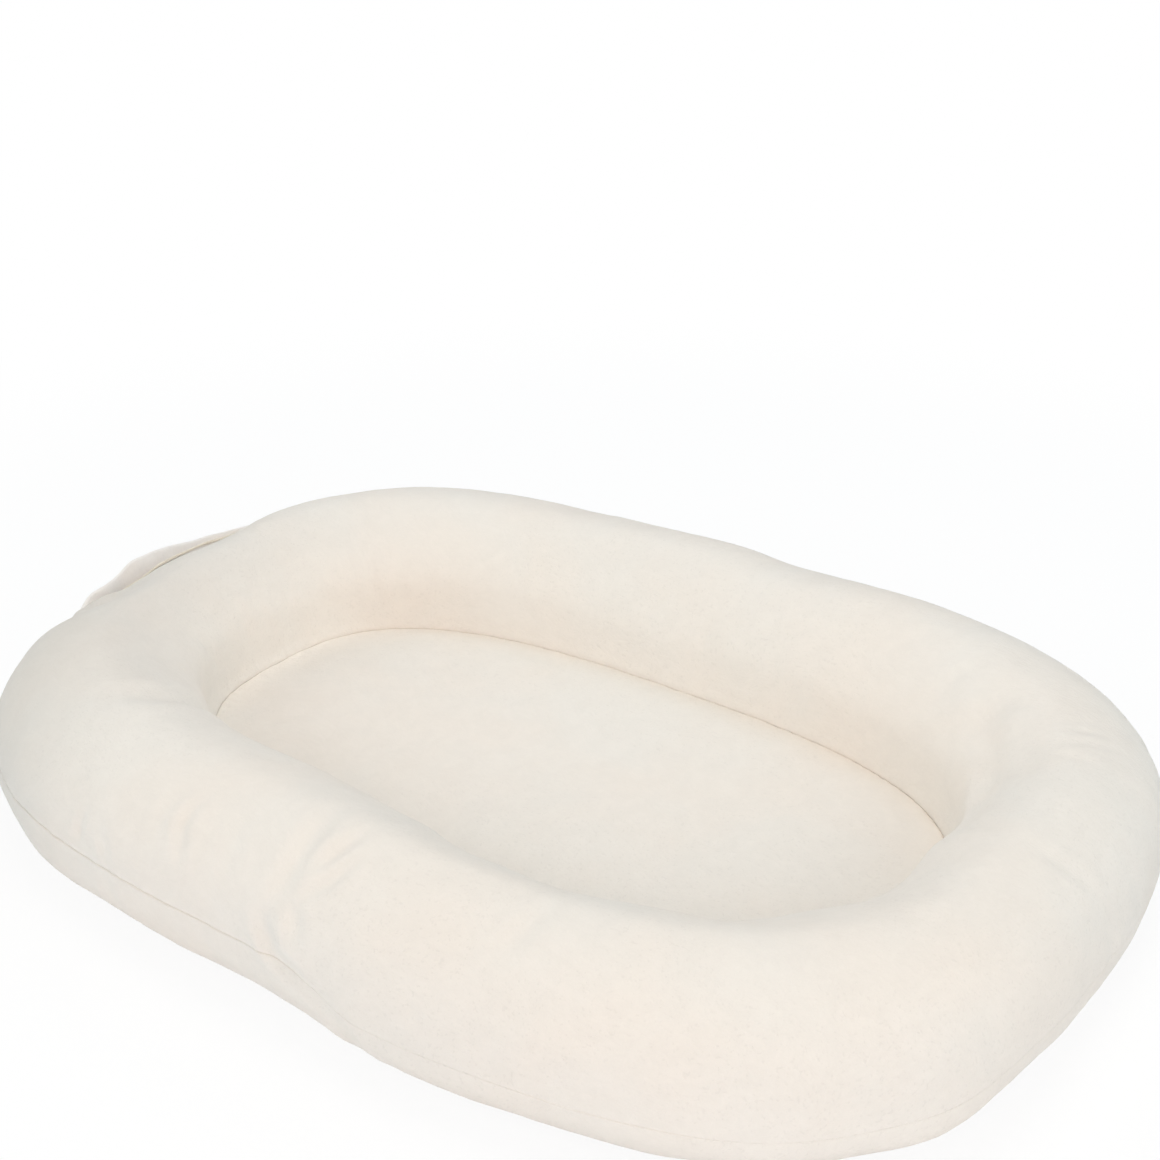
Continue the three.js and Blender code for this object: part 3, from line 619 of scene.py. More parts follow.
def plush_material(name, light, dark, head_shade_least):
    """Brushed plush: broad tone changes, nap patches, short tufts, sparse marks, the grain of the pile and
    shade painted darker towards the head end.
    """
    material, tree, shader, place = new_material(name, 1.0, PLUSH_SPECULAR)
    spot = warped(tree, place, DRIFT_SCALE, DRIFT_REACH)
    tone = rescale(tree, noise(tree, spot, TONE_SCALE), *NOISE_SPAN)
    nap = rescale(tree, noise(tree, stretched(tree, spot, NAP_STRETCH), *NAP_NOISE), *NOISE_SPAN, *NAP_LEVELS)
    tufts = rescale(tree, noise(tree, stretched(tree, spot, TUFT_STRETCH), *TUFT_NOISE), *NOISE_SPAN)
    pile = noise(tree, place, *PILE_NOISE)
    patches = rescale(tree, noise(tree, place, *PATCH_NOISE), *PATCH_SPAN, *PATCH_LEVELS)
    marks = product(tree, rescale(tree, noise(tree, spot, *MARK_NOISE), *MARK_SPAN), patches)
    grain = math_node(tree, "MULTIPLY_ADD", tufts, TUFT_LEVEL_RISE, TUFT_LEVEL)
    fine = rescale(tree, pile, *NOISE_SPAN, *PILE_LEVELS)
    # Painted shade: the colour darkens towards the head end, down to the least level given
    towards_head = add_node(tree, "VectorMath", {0: place, 1: HEAD_SHADE_WAY}, operation="DOT_PRODUCT")
    head = rescale(tree, towards_head.outputs["Value"], HEAD_SHADE_START, HEAD_SHADE_FULL, 1.0, head_shade_least)
    level = product(tree, nap, grain, fine, head, rescale(tree, marks, 0.0, 1.0, 1.0, MARK_LEVEL))
    grey = add_node(tree, "CombineColor", {0: level, 1: level, 2: level}).outputs[0]
    shaded = mix_colours(tree, 1.0, mix_colours(tree, tone, light, dark), grey, blend_type="MULTIPLY")
    tree.links.new(shaded, shader.inputs["Base Color"])
    soft = math_node(tree, "ADD", tufts, product(tree, pile, PILE_RELIEF_SHARE))
    bump(tree, shader, math_node(tree, "SUBTRACT", soft, marks), PLUSH_RELIEF, PLUSH_RELIEF_STRENGTH)
    return material


BROAD_SPECKLE_RATIO = 12
BROAD_SPECKLE, FINE_SPECKLE = (3.0, 0.6, 0.4), (3.0, 0.6)
SPECKLE_SPAN = (0.75, 1.25)
GLOSS_CHANGE_SHARE = 0.1
SPECKLE_RELIEF_STRENGTH = 0.5


def speckled_material(name, light, dark, scale, roughness, specular, relief, stretch=(1, 1, 1)):
    """A plain finish with uneven tone and grain: fibre, foam, nylon, thread or metal."""
    material, tree, shader, place = new_material(name, roughness, specular)
    spot = stretched(tree, place, stretch)
    grain = noise(tree, spot, scale, *FINE_SPECKLE)
    both = math_node(tree, "ADD", noise(tree, spot, scale / BROAD_SPECKLE_RATIO, *BROAD_SPECKLE), grain)
    share = rescale(tree, both, *SPECKLE_SPAN)
    tree.links.new(mix_colours(tree, share, dark, light), shader.inputs["Base Color"])
    least, most = roughness * (1 - GLOSS_CHANGE_SHARE), min(roughness * (1 + GLOSS_CHANGE_SHARE), 1)
    tree.links.new(rescale(tree, grain, *NOISE_SPAN, least, most), shader.inputs["Roughness"])
    bump(tree, shader, grain, relief, SPECKLE_RELIEF_STRENGTH)
    return material


WEAVE_DRIFT_SCALE = 60.0
WAVES_A_PITCH = 0.32
SLUBS_A_PITCH, SLUB_NOISE = 0.08, (2.0, 0.6)
SLUB_STRETCH, SLUB_SPAN, SLUB_LEVELS = (1.0, 8.0, 1.0), (0.2, 0.6), (0.6, 1.0)
WEAVE_SPECULAR = 0.2
WEAVE_RELIEF_STRENGTH = 0.6


def woven_material(name, light, dark, pitch, roughness, relief):
    """A plain weave of threads along X and Y, with slubs and uneven tone."""
    material, tree, shader, place = new_material(name, roughness, WEAVE_SPECULAR)
    inputs = {"Vector": warped(tree, place, WEAVE_DRIFT_SCALE, pitch), "Scale": WAVES_A_PITCH / pitch}
    bands = [add_node(tree, "TexWave", inputs, bands_direction=way).outputs["Fac"] for way in ("X", "Y")]
    weave = math_node(tree, "MAXIMUM", *bands)
    slubs = noise(tree, stretched(tree, place, SLUB_STRETCH), SLUBS_A_PITCH / pitch, *SLUB_NOISE)
    share = product(tree, weave, rescale(tree, slubs, *SLUB_SPAN, *SLUB_LEVELS))
    tree.links.new(mix_colours(tree, share, dark, light), shader.inputs["Base Color"])
    bump(tree, shader, weave, relief, WEAVE_RELIEF_STRENGTH)
    return material


# Light and dark colour, pitch of the threads, roughness and relief
WOVEN_CLOTHS = {
    "webbing": ((0.90, 0.85, 0.75), (0.80, 0.73, 0.61), 0.0011, 0.9, 0.00015),
    "lining": ((0.92, 0.91, 0.89), (0.85, 0.84, 0.81), 0.0005, 0.9, 0.00006),
    "woven_cotton": ((0.92, 0.89, 0.84), (0.83, 0.79, 0.72), 0.0007, 0.95, 0.0001),
    "zip_cloth": ((0.92, 0.90, 0.86), (0.84, 0.81, 0.75), 0.0006, 0.9, 0.00008),
}
# Light and dark colour, scale of the grain, roughness, specular level and relief
SPECKLED_FINISHES = {
    "thread": ((0.90, 0.86, 0.79), (0.80, 0.74, 0.66), 2600.0, 0.7, 0.2, 0.0002),
    "fibre": ((0.95, 0.95, 0.95), (0.86, 0.86, 0.87), 420.0, 1.0, 0.1, 0.0006),
    "foam": ((0.92, 0.89, 0.77), (0.84, 0.79, 0.64), 1300.0, 1.0, 0.1, 0.0003),
    "zip_nylon": ((0.90, 0.87, 0.80), (0.84, 0.80, 0.72), 1500.0, 0.42, 0.5, 0.00004),
    "zip_metal": ((0.78, 0.76, 0.72), (0.62, 0.60, 0.57), 1800.0, 0.34, 0.5, 0.00003, (0.25, 1, 1)),
}
FINISHES = {name: woven_material(name, *values) for name, values in WOVEN_CLOTHS.items()}
FINISHES.update((name, speckled_material(name, *values)) for name, values in SPECKLED_FINISHES.items())
# The rim's plush, with shade painted darker towards the head end
FINISHES["plush"] = plush_material("plush", (0.876, 0.806, 0.735), (0.864, 0.813, 0.752), HEAD_SHADE_LEAST)
# Painted light: the strap's plush is paler and cooler than the rim's, standing in for light that its inner
# face, in shade behind the rim's crest, does not get. It has no painted head shade
FINISHES["strap_plush_painted_light"] = plush_material("strap_plush_painted_light", (0.908, 0.862, 0.822), (0.896, 0.862, 0.832), 1.0)
FINISHES["zip_metal"].node_tree.nodes["Principled BSDF"].inputs["Metallic"].default_value = 1

# Rim covers. How far the cloth rolls in at the side seam is given by places: a share of the way round, and a
# share of the full roll.
SIDE_ROLL = 0.0028
SIDE_ROLL_SHARES = [
    (0.02, 0.05), (0.05, 0.6), (0.10, 0.9), (0.58, 0.9), (0.64, 0.6), (0.74, 0.55), (0.765, 0.3),
    (0.777, 0.12), (0.79, 0.05), (0.82, 0.05), (0.838, 0.2), (0.86, 0.2), (0.875, 0.05), (0.98, 0.05),
]
SIDE_PUCKER = 0.0005
INNER_PUCKER = 0.0005
EDGE_EASE = 0.022
PUCKER_EASE = 0.006
FOLD_EDGE_SHARE = 0.35
FLOOR_GAP = 0.0001
RING_EASE_SHARE = 0.85
COARSE_RING_COUNT = 22
UNDER_ROW_REACH = 2
FOOTPRINT_FADE = 0.010
FOOTPRINT_REACH_RATIO = 1.5


def lowest_near(values, rows, columns):
    """The lowest value within so many rows and columns of each place. The columns close into a ring."""
    lowest = values.copy()
    for step in range(1, columns + 1):
        lowest = np.minimum(lowest, np.minimum(np.roll(values, step, axis=1), np.roll(values, -step, axis=1)))
    across = lowest.copy()
    for step in range(1, rows + 1):
        across[step:] = np.minimum(across[step:], lowest[:-step])
        across[:-step] = np.minimum(across[:-step], lowest[step:])
    return across


def strap_footprint(points):
    """1 under the sewn ends of the strap, where the rim is pressed flat, and 0 away from them."""
    beside = np.abs(points[..., 1] - STRAP_OFFSET) - (STRAP_SPAN / 2 + STRAP_END_LENGTH / 2)
    along = smooth_step(FOOTPRINT_REACH_RATIO - np.abs(beside) / STRAP_END_LENGTH)
    tall = smooth_step(1 + (STRAP_WIDTH / 2 - np.abs(points[..., 2] - STRAP_END_HEIGHT)) / FOOTPRINT_FADE)
    return np.where(points[..., 0] < -SLEEP_LENGTH / 2, along * tall, 0)


def stuffed_offset(angles, base, ease):
    """How far the filling pushes the cloth out of the even section, with its folds and without puckers."""
    broad = swell(round_share(TURNS)[None, :], angles) + layered_noise(base, RIM_UNEVENNESS)
    fold = fold_depth(base) * (FOLD_EDGE_SHARE + (1 - FOLD_EDGE_SHARE) * ease)
    return broad * (1 - strap_footprint(base)) * ease - fold - wall_lean(TURNS[None, :], angles)


def spread_rows(count, wanted):
    """Row numbers spread over this many rows, the first and the last among them."""
    return np.unique(np.linspace(0, count - 1, wanted).round().astype(int))


def two_layer_faces(ring_count, row_count, joins_first):
    """Faces of a fine outer layer and a coarse inner one, joined along the last ring and maybe the first."""
    fine, coarse = np.arange(STATION_COUNT), np.arange(COARSE_COUNT) + ring_count * STATION_COUNT
    faces = grid_faces(ring_count, STATION_COUNT)
    faces += grid_faces(row_count, COARSE_COUNT, first=int(coarse[0]))
    if joins_first:
        faces += bridge_faces(fine.tolist(), coarse.tolist())
    fine += (ring_count - 1) * STATION_COUNT
    coarse += (row_count - 1) * COARSE_COUNT
    return faces + bridge_faces(fine.tolist(), coarse.tolist())


def rim_sheet(name, stop_angle, outward_sign, ring_count, meets_panel):
    """A closed sheet of plush over the rim, from the side seam to the section angle of its other edge."""
    start = side_seam_angle(TURNS)
    shares = seam_spacing(ring_count, RING_EASE_SHARE)
    angles, lengths = even_arc_angles(TURNS, start, np.full_like(start, stop_angle), shares)
    base = rim_point(TURNS[None, :], angles)
    normal = grid_normals(base) * outward_sign
    first_gap = shares[:, None] * lengths[None, :]
    last_gap = (1 - shares)[:, None] * lengths[None, :]
    tucked = last_gap[np.argmin(np.abs(angles - EDGE_ANGLE), axis=0), np.arange(STATION_COUNT)]
    over_seam = np.maximum(last_gap - tucked[None, :], 0)
    ease = smooth_step((over_seam if meets_panel else last_gap) / EDGE_EASE)
    strength = np.interp(round_share(TURNS), *zip(*SIDE_ROLL_SHARES), period=1)[None, :]
    fine = puckers(base, first_gap, SIDE_PUCKER) * strength
    offset = stuffed_offset(angles, base, ease) - seam_roll(first_gap, SIDE_ROLL * strength)
    if meets_panel:
        fine += puckers(base, over_seam, INNER_PUCKER) * smooth_step(over_seam / PUCKER_EASE)
    outside = base + normal * (offset + fine)[..., None]
    outside[..., 2] = np.maximum(outside[..., 2], FLOOR_GAP)
    rows = spread_rows(ring_count, COARSE_RING_COUNT)
    under = lowest_near(offset, UNDER_ROW_REACH, COARSE_RATIO // 2) - PLUSH
    picked = (base + normal * under[..., None])[rows][:, ::COARSE_RATIO]
    picked[..., 2] = np.maximum(picked[..., 2], FLOOR_GAP + PLUSH)
    points = np.concatenate([outside.reshape(-1, 3), picked.reshape(-1, 3)])
    return mesh_object(name, points, two_layer_faces(ring_count, len(rows), True), "plush")


# Sleeping surface
EDGE_WAVE, EDGE_WAVE_CELL = 0.0001, 0.013
EDGE_TOUCH = 0.00005
PANEL_RING_COUNT = 72
PANEL_ROW_COUNT = 12
PANEL_FIRST_SHARE = 0.015
PANEL_SLACK = 0.0005
PANEL_PUCKER = 0.0004
LEVEL_EASE = 0.03
PANEL_UNEVENNESS = [(0.0016, 0.11, BROAD_TABLE), (0.0006, 0.045, MIDDLE_TABLE), (0.0002, 0.014, FINE_TABLE)]
CROWN_POWER, EDGE_FALL_POWER = 4, 16


def crown_height(share):
    """Height of the sleeping surface, at a share of the way from its middle to its edge."""
    return SEAM_HEIGHT + SLEEP_CROWN * (1 - share ** CROWN_POWER) - SLEEP_EDGE_FALL * share ** EDGE_FALL_POWER


def fan_faces(pole, first, count, turned):
    """Triangles from a pole to a ring of points. Turned ones run the other way round."""
    pairs = [(first + column, first + (column + 1) % count) for column in range(count)]
    return [[pole, two, one] if turned else [pole, one, two] for one, two in pairs]


def sleep_panel():
    """The crowned sleeping surface, which meets the rim in a narrow dip."""
    shares = np.sin(np.linspace(PANEL_FIRST_SHARE, 1, PANEL_RING_COUNT) * math.pi / 2)
    seam = rim_point(TURNS, EDGE_ANGLE)
    wave = EDGE_WAVE * (1 + value_noise(seam, EDGE_WAVE_CELL, FINE_TABLE)) / 2
    edge = seam[:, :2] - section_frame(TURNS)[1] * (EDGE_TOUCH + wave)[:, None]
    plan = edge[None] * shares[:, None, None]
    distance = np.linalg.norm(edge[None] - plan, axis=-1)
    flat = with_height(plan, SEAM_HEIGHT)
    crown = np.broadcast_to(crown_height(shares)[:, None], distance.shape)
    lie = layered_noise(flat, PANEL_UNEVENNESS) * smooth_step(distance / LEVEL_EASE)
    dip = EDGE_DIP * np.clip(1 - distance / EDGE_DIP_WIDTH, 0, 1) ** 2
    top = with_height(plan, crown + lie + puckers(flat, distance, PANEL_PUCKER) - dip)
    rows = spread_rows(PANEL_RING_COUNT, PANEL_ROW_COUNT)
    under = with_height(plan, crown - dip - PLUSH - PANEL_SLACK)[rows][:, ::COARSE_RATIO]
    poles = [(0, 0, crown_height(0)), (0, 0, crown_height(0) - PLUSH)]
    points = [*top.reshape(-1, 3), *under.reshape(-1, 3), *poles]
    pole = len(points) - len(poles)
    faces = two_layer_faces(PANEL_RING_COUNT, len(rows), False)
    faces += fan_faces(pole, 0, STATION_COUNT, True)
    faces += fan_faces(pole + 1, PANEL_RING_COUNT * STATION_COUNT, COARSE_COUNT, False)
    return mesh_object("sleep_plush", points, faces, "plush")


def settle(piece, slot, *nodes, body="cover"):
    """A piece that rides on a body and stands for these nodes. The slot is not used."""
    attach(piece, body)
    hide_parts(*nodes)
    return piece


upper_plush = rim_sheet("upper_plush", TUCK_ANGLE, 1, UPPER_RING_COUNT, True)
settle(upper_plush, "plush", "upper_cover")
lower_plush = rim_sheet("lower_plush", HEM_ANGLE - FULL_TURN, -1, LOWER_RING_COUNT, False)
settle(lower_plush, "plush", "lower_cover")
sleep_plush = settle(sleep_panel(), "plush", "sleep_panel")

# Inner pieces: the filling, its lining, the pad, its lining and the binding of the inner seam
LINER = 0.0008
LINER_SLIT = 0.005
PAD_EDGE_ROUND = 0.006
PAD_EDGE_GAP = 0.002
PAD_SHOULDER_SHARE = 0.97
PAD_CROWN_SHARES = (0.05, 0.2, 0.35, 0.5, 0.65, 0.8, 0.9, 1)
PAD_BEND_SHARES = np.linspace(0.2, 1, 4)
PAD_OPENING_SHARE = 0.5
TAPE_THICKNESS = 0.0012
TAPE_HEIGHT = 0.011
TAPE_DEPTH = 0.0060
INNER_RING_COUNT = 48
FILL_INSET = PLUSH + LINER + 2 * CLEARANCE
INNER_TURNS = TURNS[::COARSE_RATIO]


def under_cover(inset):
    """Rings of points under the cover, from the lining's slit round under the foot and over the crest."""
    start = np.full_like(TURNS, HEM_ANGLE - FULL_TURN)
    slit = LINER_SLIT / section_frame(TURNS)[2]
    angles = even_arc_angles(TURNS, start, start + FULL_TURN - slit, np.linspace(0, 1, INNER_RING_COUNT))[0]
    base = rim_point(TURNS[None, :], angles)
    offset = stuffed_offset(angles, base, np.ones_like(angles))
    low = np.minimum(lowest_near(offset, 1, COARSE_RATIO), 0) - inset
    points = (base + grid_normals(base) * low[..., None])[:, ::COARSE_RATIO]
    points[..., 2] = np.maximum(points[..., 2], inset)
    return points


def loop_faces(loops, closed=True):
    """Faces through rows of points, the last joined to the first. The columns close into a ring or not."""
    rows, columns = loops.shape[:2]
    faces = grid_faces(rows + 1, columns, closed)
    return [[corner % (rows * columns) for corner in face] for face in faces]


def ring_object(name, loops, finish):
    """A closed ring through loops of points: rows are the loop's corners, columns go round."""
    return mesh_object(name, loops, loop_faces(loops), finish)


def dome_object(name, levels, finish):
    """A closed form from ring levels, with a point on the axis at both ends."""
    count = levels[0].shape[0]
    points = [*np.concatenate(levels), (0, 0, levels[0][0, 2]), (0, 0, levels[-1][0, 2])]
    last = (len(levels) - 1) * count
    faces = grid_faces(len(levels), count)
    faces += fan_faces(len(points) - 2, 0, count, True) + fan_faces(len(points) - 1, last, count, False)
    return mesh_object(name, points, faces, finish)


def seam_side(distance):
    """Places in plan that lie inwards of the inner seam by a distance."""
    return rim_point(INNER_TURNS, INNER_SEAM_ANGLE)[:, :2] - section_frame(INNER_TURNS)[1] * distance


def pad_levels(inset):
    """Ring levels of the pad: its crown from the middle out, its rounded side and its foot."""
    edge = seam_side(PAD_EDGE_GAP + inset)
    under = PLUSH + CLEARANCE + inset
    top = crown_height(1) - under
    floor = BASE_TOP + CLEARANCE + inset
    crown = [(share * PAD_SHOULDER_SHARE, crown_height(share) - under) for share in PAD_CROWN_SHARES]
    side = []
    for bend_share in PAD_BEND_SHARES:
        bend = bend_share * math.pi / 2
        share = PAD_SHOULDER_SHARE + (1 - PAD_SHOULDER_SHARE) * math.sin(bend)
        side.append((share, top - PAD_EDGE_ROUND * (1 - math.cos(bend))))
    lower = [(share, floor + top - z) for share, z in reversed(side)] + [(PAD_SHOULDER_SHARE, floor)]
    return [with_height(edge * share, z) for share, z in crown + side + lower]


def inner_pieces():
    fill = ring_object("bolster_filling", under_cover(FILL_INSET), "fibre")
    settle(fill, "fibre_fill", "bolster_fill")
    lining_loops = np.concatenate([under_cover(PLUSH + CLEARANCE), under_cover(FILL_INSET - CLEARANCE)[::-1]])
    lining = settle(ring_object("bolster_lining", lining_loops, "lining"), "lining", "bolster_liner")
    pad = settle(dome_object("pad_filling", pad_levels(LINER + CLEARANCE), "foam"), "pad_foam", "pad_core")
    outside, inside = pad_levels(0), pad_levels(LINER)
    opening = [level[-1] * np.array([PAD_OPENING_SHARE, PAD_OPENING_SHARE, 1]) for level in (outside, inside)]
    pad_lining = dome_object("pad_lining", outside + opening + inside[::-1], "lining")
    settle(pad_lining, "lining", "pad_liner")
    top = SEAM_HEIGHT - TAPE_DEPTH
    near, away_from = CLEARANCE, CLEARANCE + TAPE_THICKNESS
    corners = [(away_from, top), (near, top), (near, top - TAPE_HEIGHT), (away_from, top - TAPE_HEIGHT)]
    loops = np.array([with_height(seam_side(away), z) for away, z in corners])
    binding = settle(ring_object("seam_binding", loops, "webbing"), "webbing", "inner_seam_tape")


# Carry strap. Places along it are in millimetres along Y, with heights in millimetres.
STRAP_TOP_EDGE = [
    (-113, 83), (-106, 88.5), (-98, 94), (-90, 98), (-78, 98.5), (-63, 96.6), (-54, 95.4), (-46, 95.4),
    (-37, 99.4), (-28, 103), (-13, 102.6), (1, 102.2), (21, 99.8), (46, 95.8), (66, 96.2), (84, 97.4),
    (105, 95.7), (121, 95.2),
]
STRAP_HEM_LINE = [
    (-86, 91), (-75, 88.4), (-52, 83.0), (-27, 85.6), (-6, 90.4), (10, 91.2), (31, 91.2), (46, 91.3),
    (63, 91.6), (74, 93.2), (86, 94.2), (94, 94.4),
]
STRAP_HALF_THICKNESS = 0.0027
STRAP_NEAR_END = STRAP_OFFSET - STRAP_SPAN / 2 - STRAP_END_LENGTH
STRAP_FAR_END = STRAP_OFFSET + STRAP_SPAN / 2 + STRAP_END_LENGTH
# Each half: its name, side and sewn end, and the nodes that it stands for
STRAP_HALVES = [
    ("near", -1, STRAP_NEAR_END, "handle_end_near", "handle_grip", "handle_webbing"),
    ("far", 1, STRAP_FAR_END, "handle_end_far"),
]
STRAP_LIFT_LENGTH = 0.045
STRAP_LOWEST = 0.054
STRAP_ROW_COUNT = 96
STRAP_SIDE_COUNT = 48
STRAP_ROW_EASE_SHARE = 0.4
STRAP_CORNER_POWER = 5
STRAP_END_ROUND = 0.004
STRAP_END_LEAST_SHARE = 0.02
STRAP_MIDDLE_EASE = 0.01
STRAP_UNEVENNESS = [(0.0006, 0.016, MIDDLE_TABLE), (0.00025, 0.006, FINE_TABLE)]
CURVE_REACH = 0.008
CURVE_SHIFT_SHARES = np.linspace(-1, 1, 9)
CURVE_LEAST_WEIGHT = 0.05
CURVE_WEIGHTS = np.cos(CURVE_SHIFT_SHARES * math.pi / 2) + CURVE_LEAST_WEIGHT
HALVING_COUNT = 32
HEM_ROW_COUNT = 60
HEM_SIDE_COUNT = 10
HEM_HALF_HEIGHT = 0.0011
HEM_HALF_WIDTH = 0.0009
HEM_LIFT = 0.0002
STITCH_MARGIN = 0.005
STITCH_RADIUS = 0.00045
STITCH_LENGTH = 0.0027
STITCH_PITCH = 0.0036
STITCH_ARCH = 0.0003
STITCH_SINK = 0.0001
STITCH_RING_COUNT = 7
STITCH_SIDE_COUNT = 8
STITCH_ACROSS = (1, 0, 0.001)
STITCH_LEAST_SHARE = 0.1
STITCH_END_POWER = 4
STITCH_DENT = 0.0009
STITCH_DENT_WIDTH = 0.0022


def curve_at(places, y):
    """A smooth curve through places in millimetres, at y in metres. Its heights come back in metres."""
    at, heights = np.transpose(places) * MILLIMETRE
    shifts = CURVE_SHIFT_SHARES * CURVE_REACH
    total = sum(weight * np.interp(y + shift, at, heights) for shift, weight in zip(shifts, CURVE_WEIGHTS))
    return total / CURVE_WEIGHTS.sum()


def flank_x(y, z):
    """Where the head end's outer flank lies at y and z."""
    y, z = np.broadcast_arrays(y, z)
    low = np.full(y.shape, math.pi / 2)
    high = np.full(y.shape, 3 * math.pi / 2)
    angle = outer_angle(z)
    for _ in range(HALVING_COUNT):
        turn = (low + high) / 2
        beyond = rim_point(turn, angle)[..., 1] > y
        low = np.where(beyond, turn, low)
        high = np.where(beyond, high, turn)
    return rim_point((low + high) / 2, angle)[..., 0]


def strap_edges(y):
    """The strap's lower and upper edge at y."""
    top = curve_at(STRAP_TOP_EDGE, y)
    return np.maximum(top - STRAP_WIDTH, STRAP_LOWEST), top


def strap_bow(y):
    share = np.clip(np.abs(y - STRAP_OFFSET) / (STRAP_SPAN / 2), 0, 1)
    return 1 - share ** STRAP_BOW_POWER


def strap_middle(y, z):
    """Where the middle of the strap's thickness lies: along the flank at its ends, clear of it between."""
    free = STRAP_SPAN / 2 - np.abs(y - STRAP_OFFSET)
    lift = smooth_step(free / STRAP_LIFT_LENGTH)
    along = flank_x(y, np.minimum(z, STRAP_CLING_HEIGHT))
    clear = flank_x(y, WIDEST_HEIGHT) - STRAP_STANDOFF * strap_bow(y)
    centre = sum(strap_edges(y)) / 2
    lean = STRAP_LEAN * np.maximum(z - centre * lift - STRAP_CLING_HEIGHT * (1 - lift), 0)
    return along * (1 - lift) + clear * lift - CLEARANCE - STRAP_HALF_THICKNESS - lean


def box_stretches(side):
    """The sides and diagonals of the box stitch at one end, from (y, z) to (y, z). Near is -1, far is 1."""
    start = STRAP_OFFSET + side * (STRAP_SPAN / 2 + STITCH_MARGIN)
    stop = STRAP_OFFSET + side * (STRAP_SPAN / 2 + STRAP_END_LENGTH - STITCH_MARGIN)
    low, high = strap_edges(stop)
    low, high = low + STITCH_MARGIN, high - STITCH_MARGIN
    corners = [(start, low), (stop, low), (stop, high), (start, high)]
    return [*zip(corners, corners[1:] + corners[:1]), (corners[0], corners[2]), (corners[1], corners[3])]


def segment_gap(y, z, one, two):
    """Distance of (y, z) places from a straight stretch."""
    run = np.subtract(two, one)
    share = np.clip(((y - one[0]) * run[0] + (z - one[1]) * run[1]) / (run @ run), 0, 1)
    return np.hypot(y - one[0] - share * run[0], z - one[1] - share * run[1])


def stitch_dent(y, z):
    """How far the stitches pull the strap's face in."""
    dent = np.zeros(np.broadcast(y, z).shape)
    for one, two in box_stretches(-1) + box_stretches(1):
        dent = np.maximum(dent, np.exp(-(segment_gap(y, z, one, two) / STITCH_DENT_WIDTH) ** 2))
    return STITCH_DENT * dent


def strap_face(y, z):
    """The strap's outer face, away from the rim, at y and z."""
    return strap_middle(y, z) - STRAP_HALF_THICKNESS + stitch_dent(y, z)


def spread_points(x, y, z):
    return np.stack(np.broadcast_arrays(x, y, z), axis=-1)


def tube_faces(rings, sides, first=0):
    """Faces of a tube of rings, closed at both ends."""
    faces = grid_faces(rings, sides, first=first)
    ends = (first, first + (rings - 1) * sides)
    return faces + [[end + column for column in range(sides)] for end in ends]


def strap_half(name, start, stop):
    """Half of the strap, from its sewn end at start to the strap's middle at stop."""
    y = (start + (stop - start) * seam_spacing(STRAP_ROW_COUNT, STRAP_ROW_EASE_SHARE))[:, None]
    round_about = (np.arange(STRAP_SIDE_COUNT) + 0.5) / STRAP_SIDE_COUNT * FULL_TURN
    across = signed_power(np.cos(round_about), 2 / STRAP_CORNER_POWER)[None, :]
    tall = signed_power(np.sin(round_about), 2 / STRAP_CORNER_POWER)[None, :]
    end_gap = np.clip(np.abs(y - start) / STRAP_END_ROUND, 0, 1)
    thin = np.sqrt(np.clip(1 - (1 - end_gap) ** 2, STRAP_END_LEAST_SHARE, 1))
    low, top = strap_edges(y)
    z = (low + top) / 2 + tall * ((top - low) / 2 - (1 - thin) * STRAP_END_ROUND)
    dent = np.where(across < 0, stitch_dent(y, z), 0)
    points = spread_points(strap_middle(y, z) + (STRAP_HALF_THICKNESS * thin) * across + dent, y, z)
    ease = end_gap * np.minimum(np.abs(y - stop) / STRAP_MIDDLE_EASE, 1)
    points[..., 0] += layered_noise(points, STRAP_UNEVENNESS) * ease
    # The strap is made in the paler plush, whose colour holds painted light
    return mesh_object(name, points, tube_faces(STRAP_ROW_COUNT, STRAP_SIDE_COUNT), "strap_plush_painted_light")


def strap_hem(name, start, stop):
    """The pale hem's edge along half of the strap's inner face."""
    y = np.linspace(start, stop, HEM_ROW_COUNT)[:, None]
    round_about = (np.arange(HEM_SIDE_COUNT) / HEM_SIDE_COUNT * FULL_TURN)[None, :]
    z = curve_at(STRAP_HEM_LINE, y) + HEM_HALF_HEIGHT * np.sin(round_about)
    x = strap_middle(y, z) + STRAP_HALF_THICKNESS + HEM_LIFT + HEM_HALF_WIDTH * np.cos(round_about)
    faces = tube_faces(HEM_ROW_COUNT, HEM_SIDE_COUNT)
    return mesh_object(name, spread_points(x, y, z), faces, "webbing")


def strap():
    """Both halves of the strap, each from its sewn end to the strap's middle, with the hem along its inner
    face.
    """
    for word, side, end, *nodes in STRAP_HALVES:
        edge = STRAP_OFFSET + side * STRAP_SPAN / 2
        half = strap_half("strap_" + word, end, STRAP_OFFSET)
        hem = strap_hem("strap_hem_" + word, edge, STRAP_OFFSET)
        for piece, slot in ((half, "plush"), (hem, "webbing")):
            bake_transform(piece)
        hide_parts(*nodes)


def tube_rings(path, radius, sides, across):
    """Rings of points round a path of points. The radius is one for all rings or one for each."""
    along = unit(np.gradient(path, axis=0))
    side = unit(np.cross(along, across))
    up = np.cross(side, along)
    turn = np.arange(sides) / sides * FULL_TURN
    ring = np.cos(turn)[None, :, None] * side[:, None] + np.sin(turn)[None, :, None] * up[:, None]
    return path[:, None] + np.reshape(radius, (-1, 1, 1)) * ring


def tubes_object(name, tubes, finish):
    """One piece from tubes of rings that all have the same count of points."""
    size = tubes[0].shape[0] * tubes[0].shape[1]
    faces = []
    for index, rings in enumerate(tubes):
        faces += tube_faces(*rings.shape[:2], first=index * size)
    return mesh_object(name, np.concatenate(tubes), faces, finish)


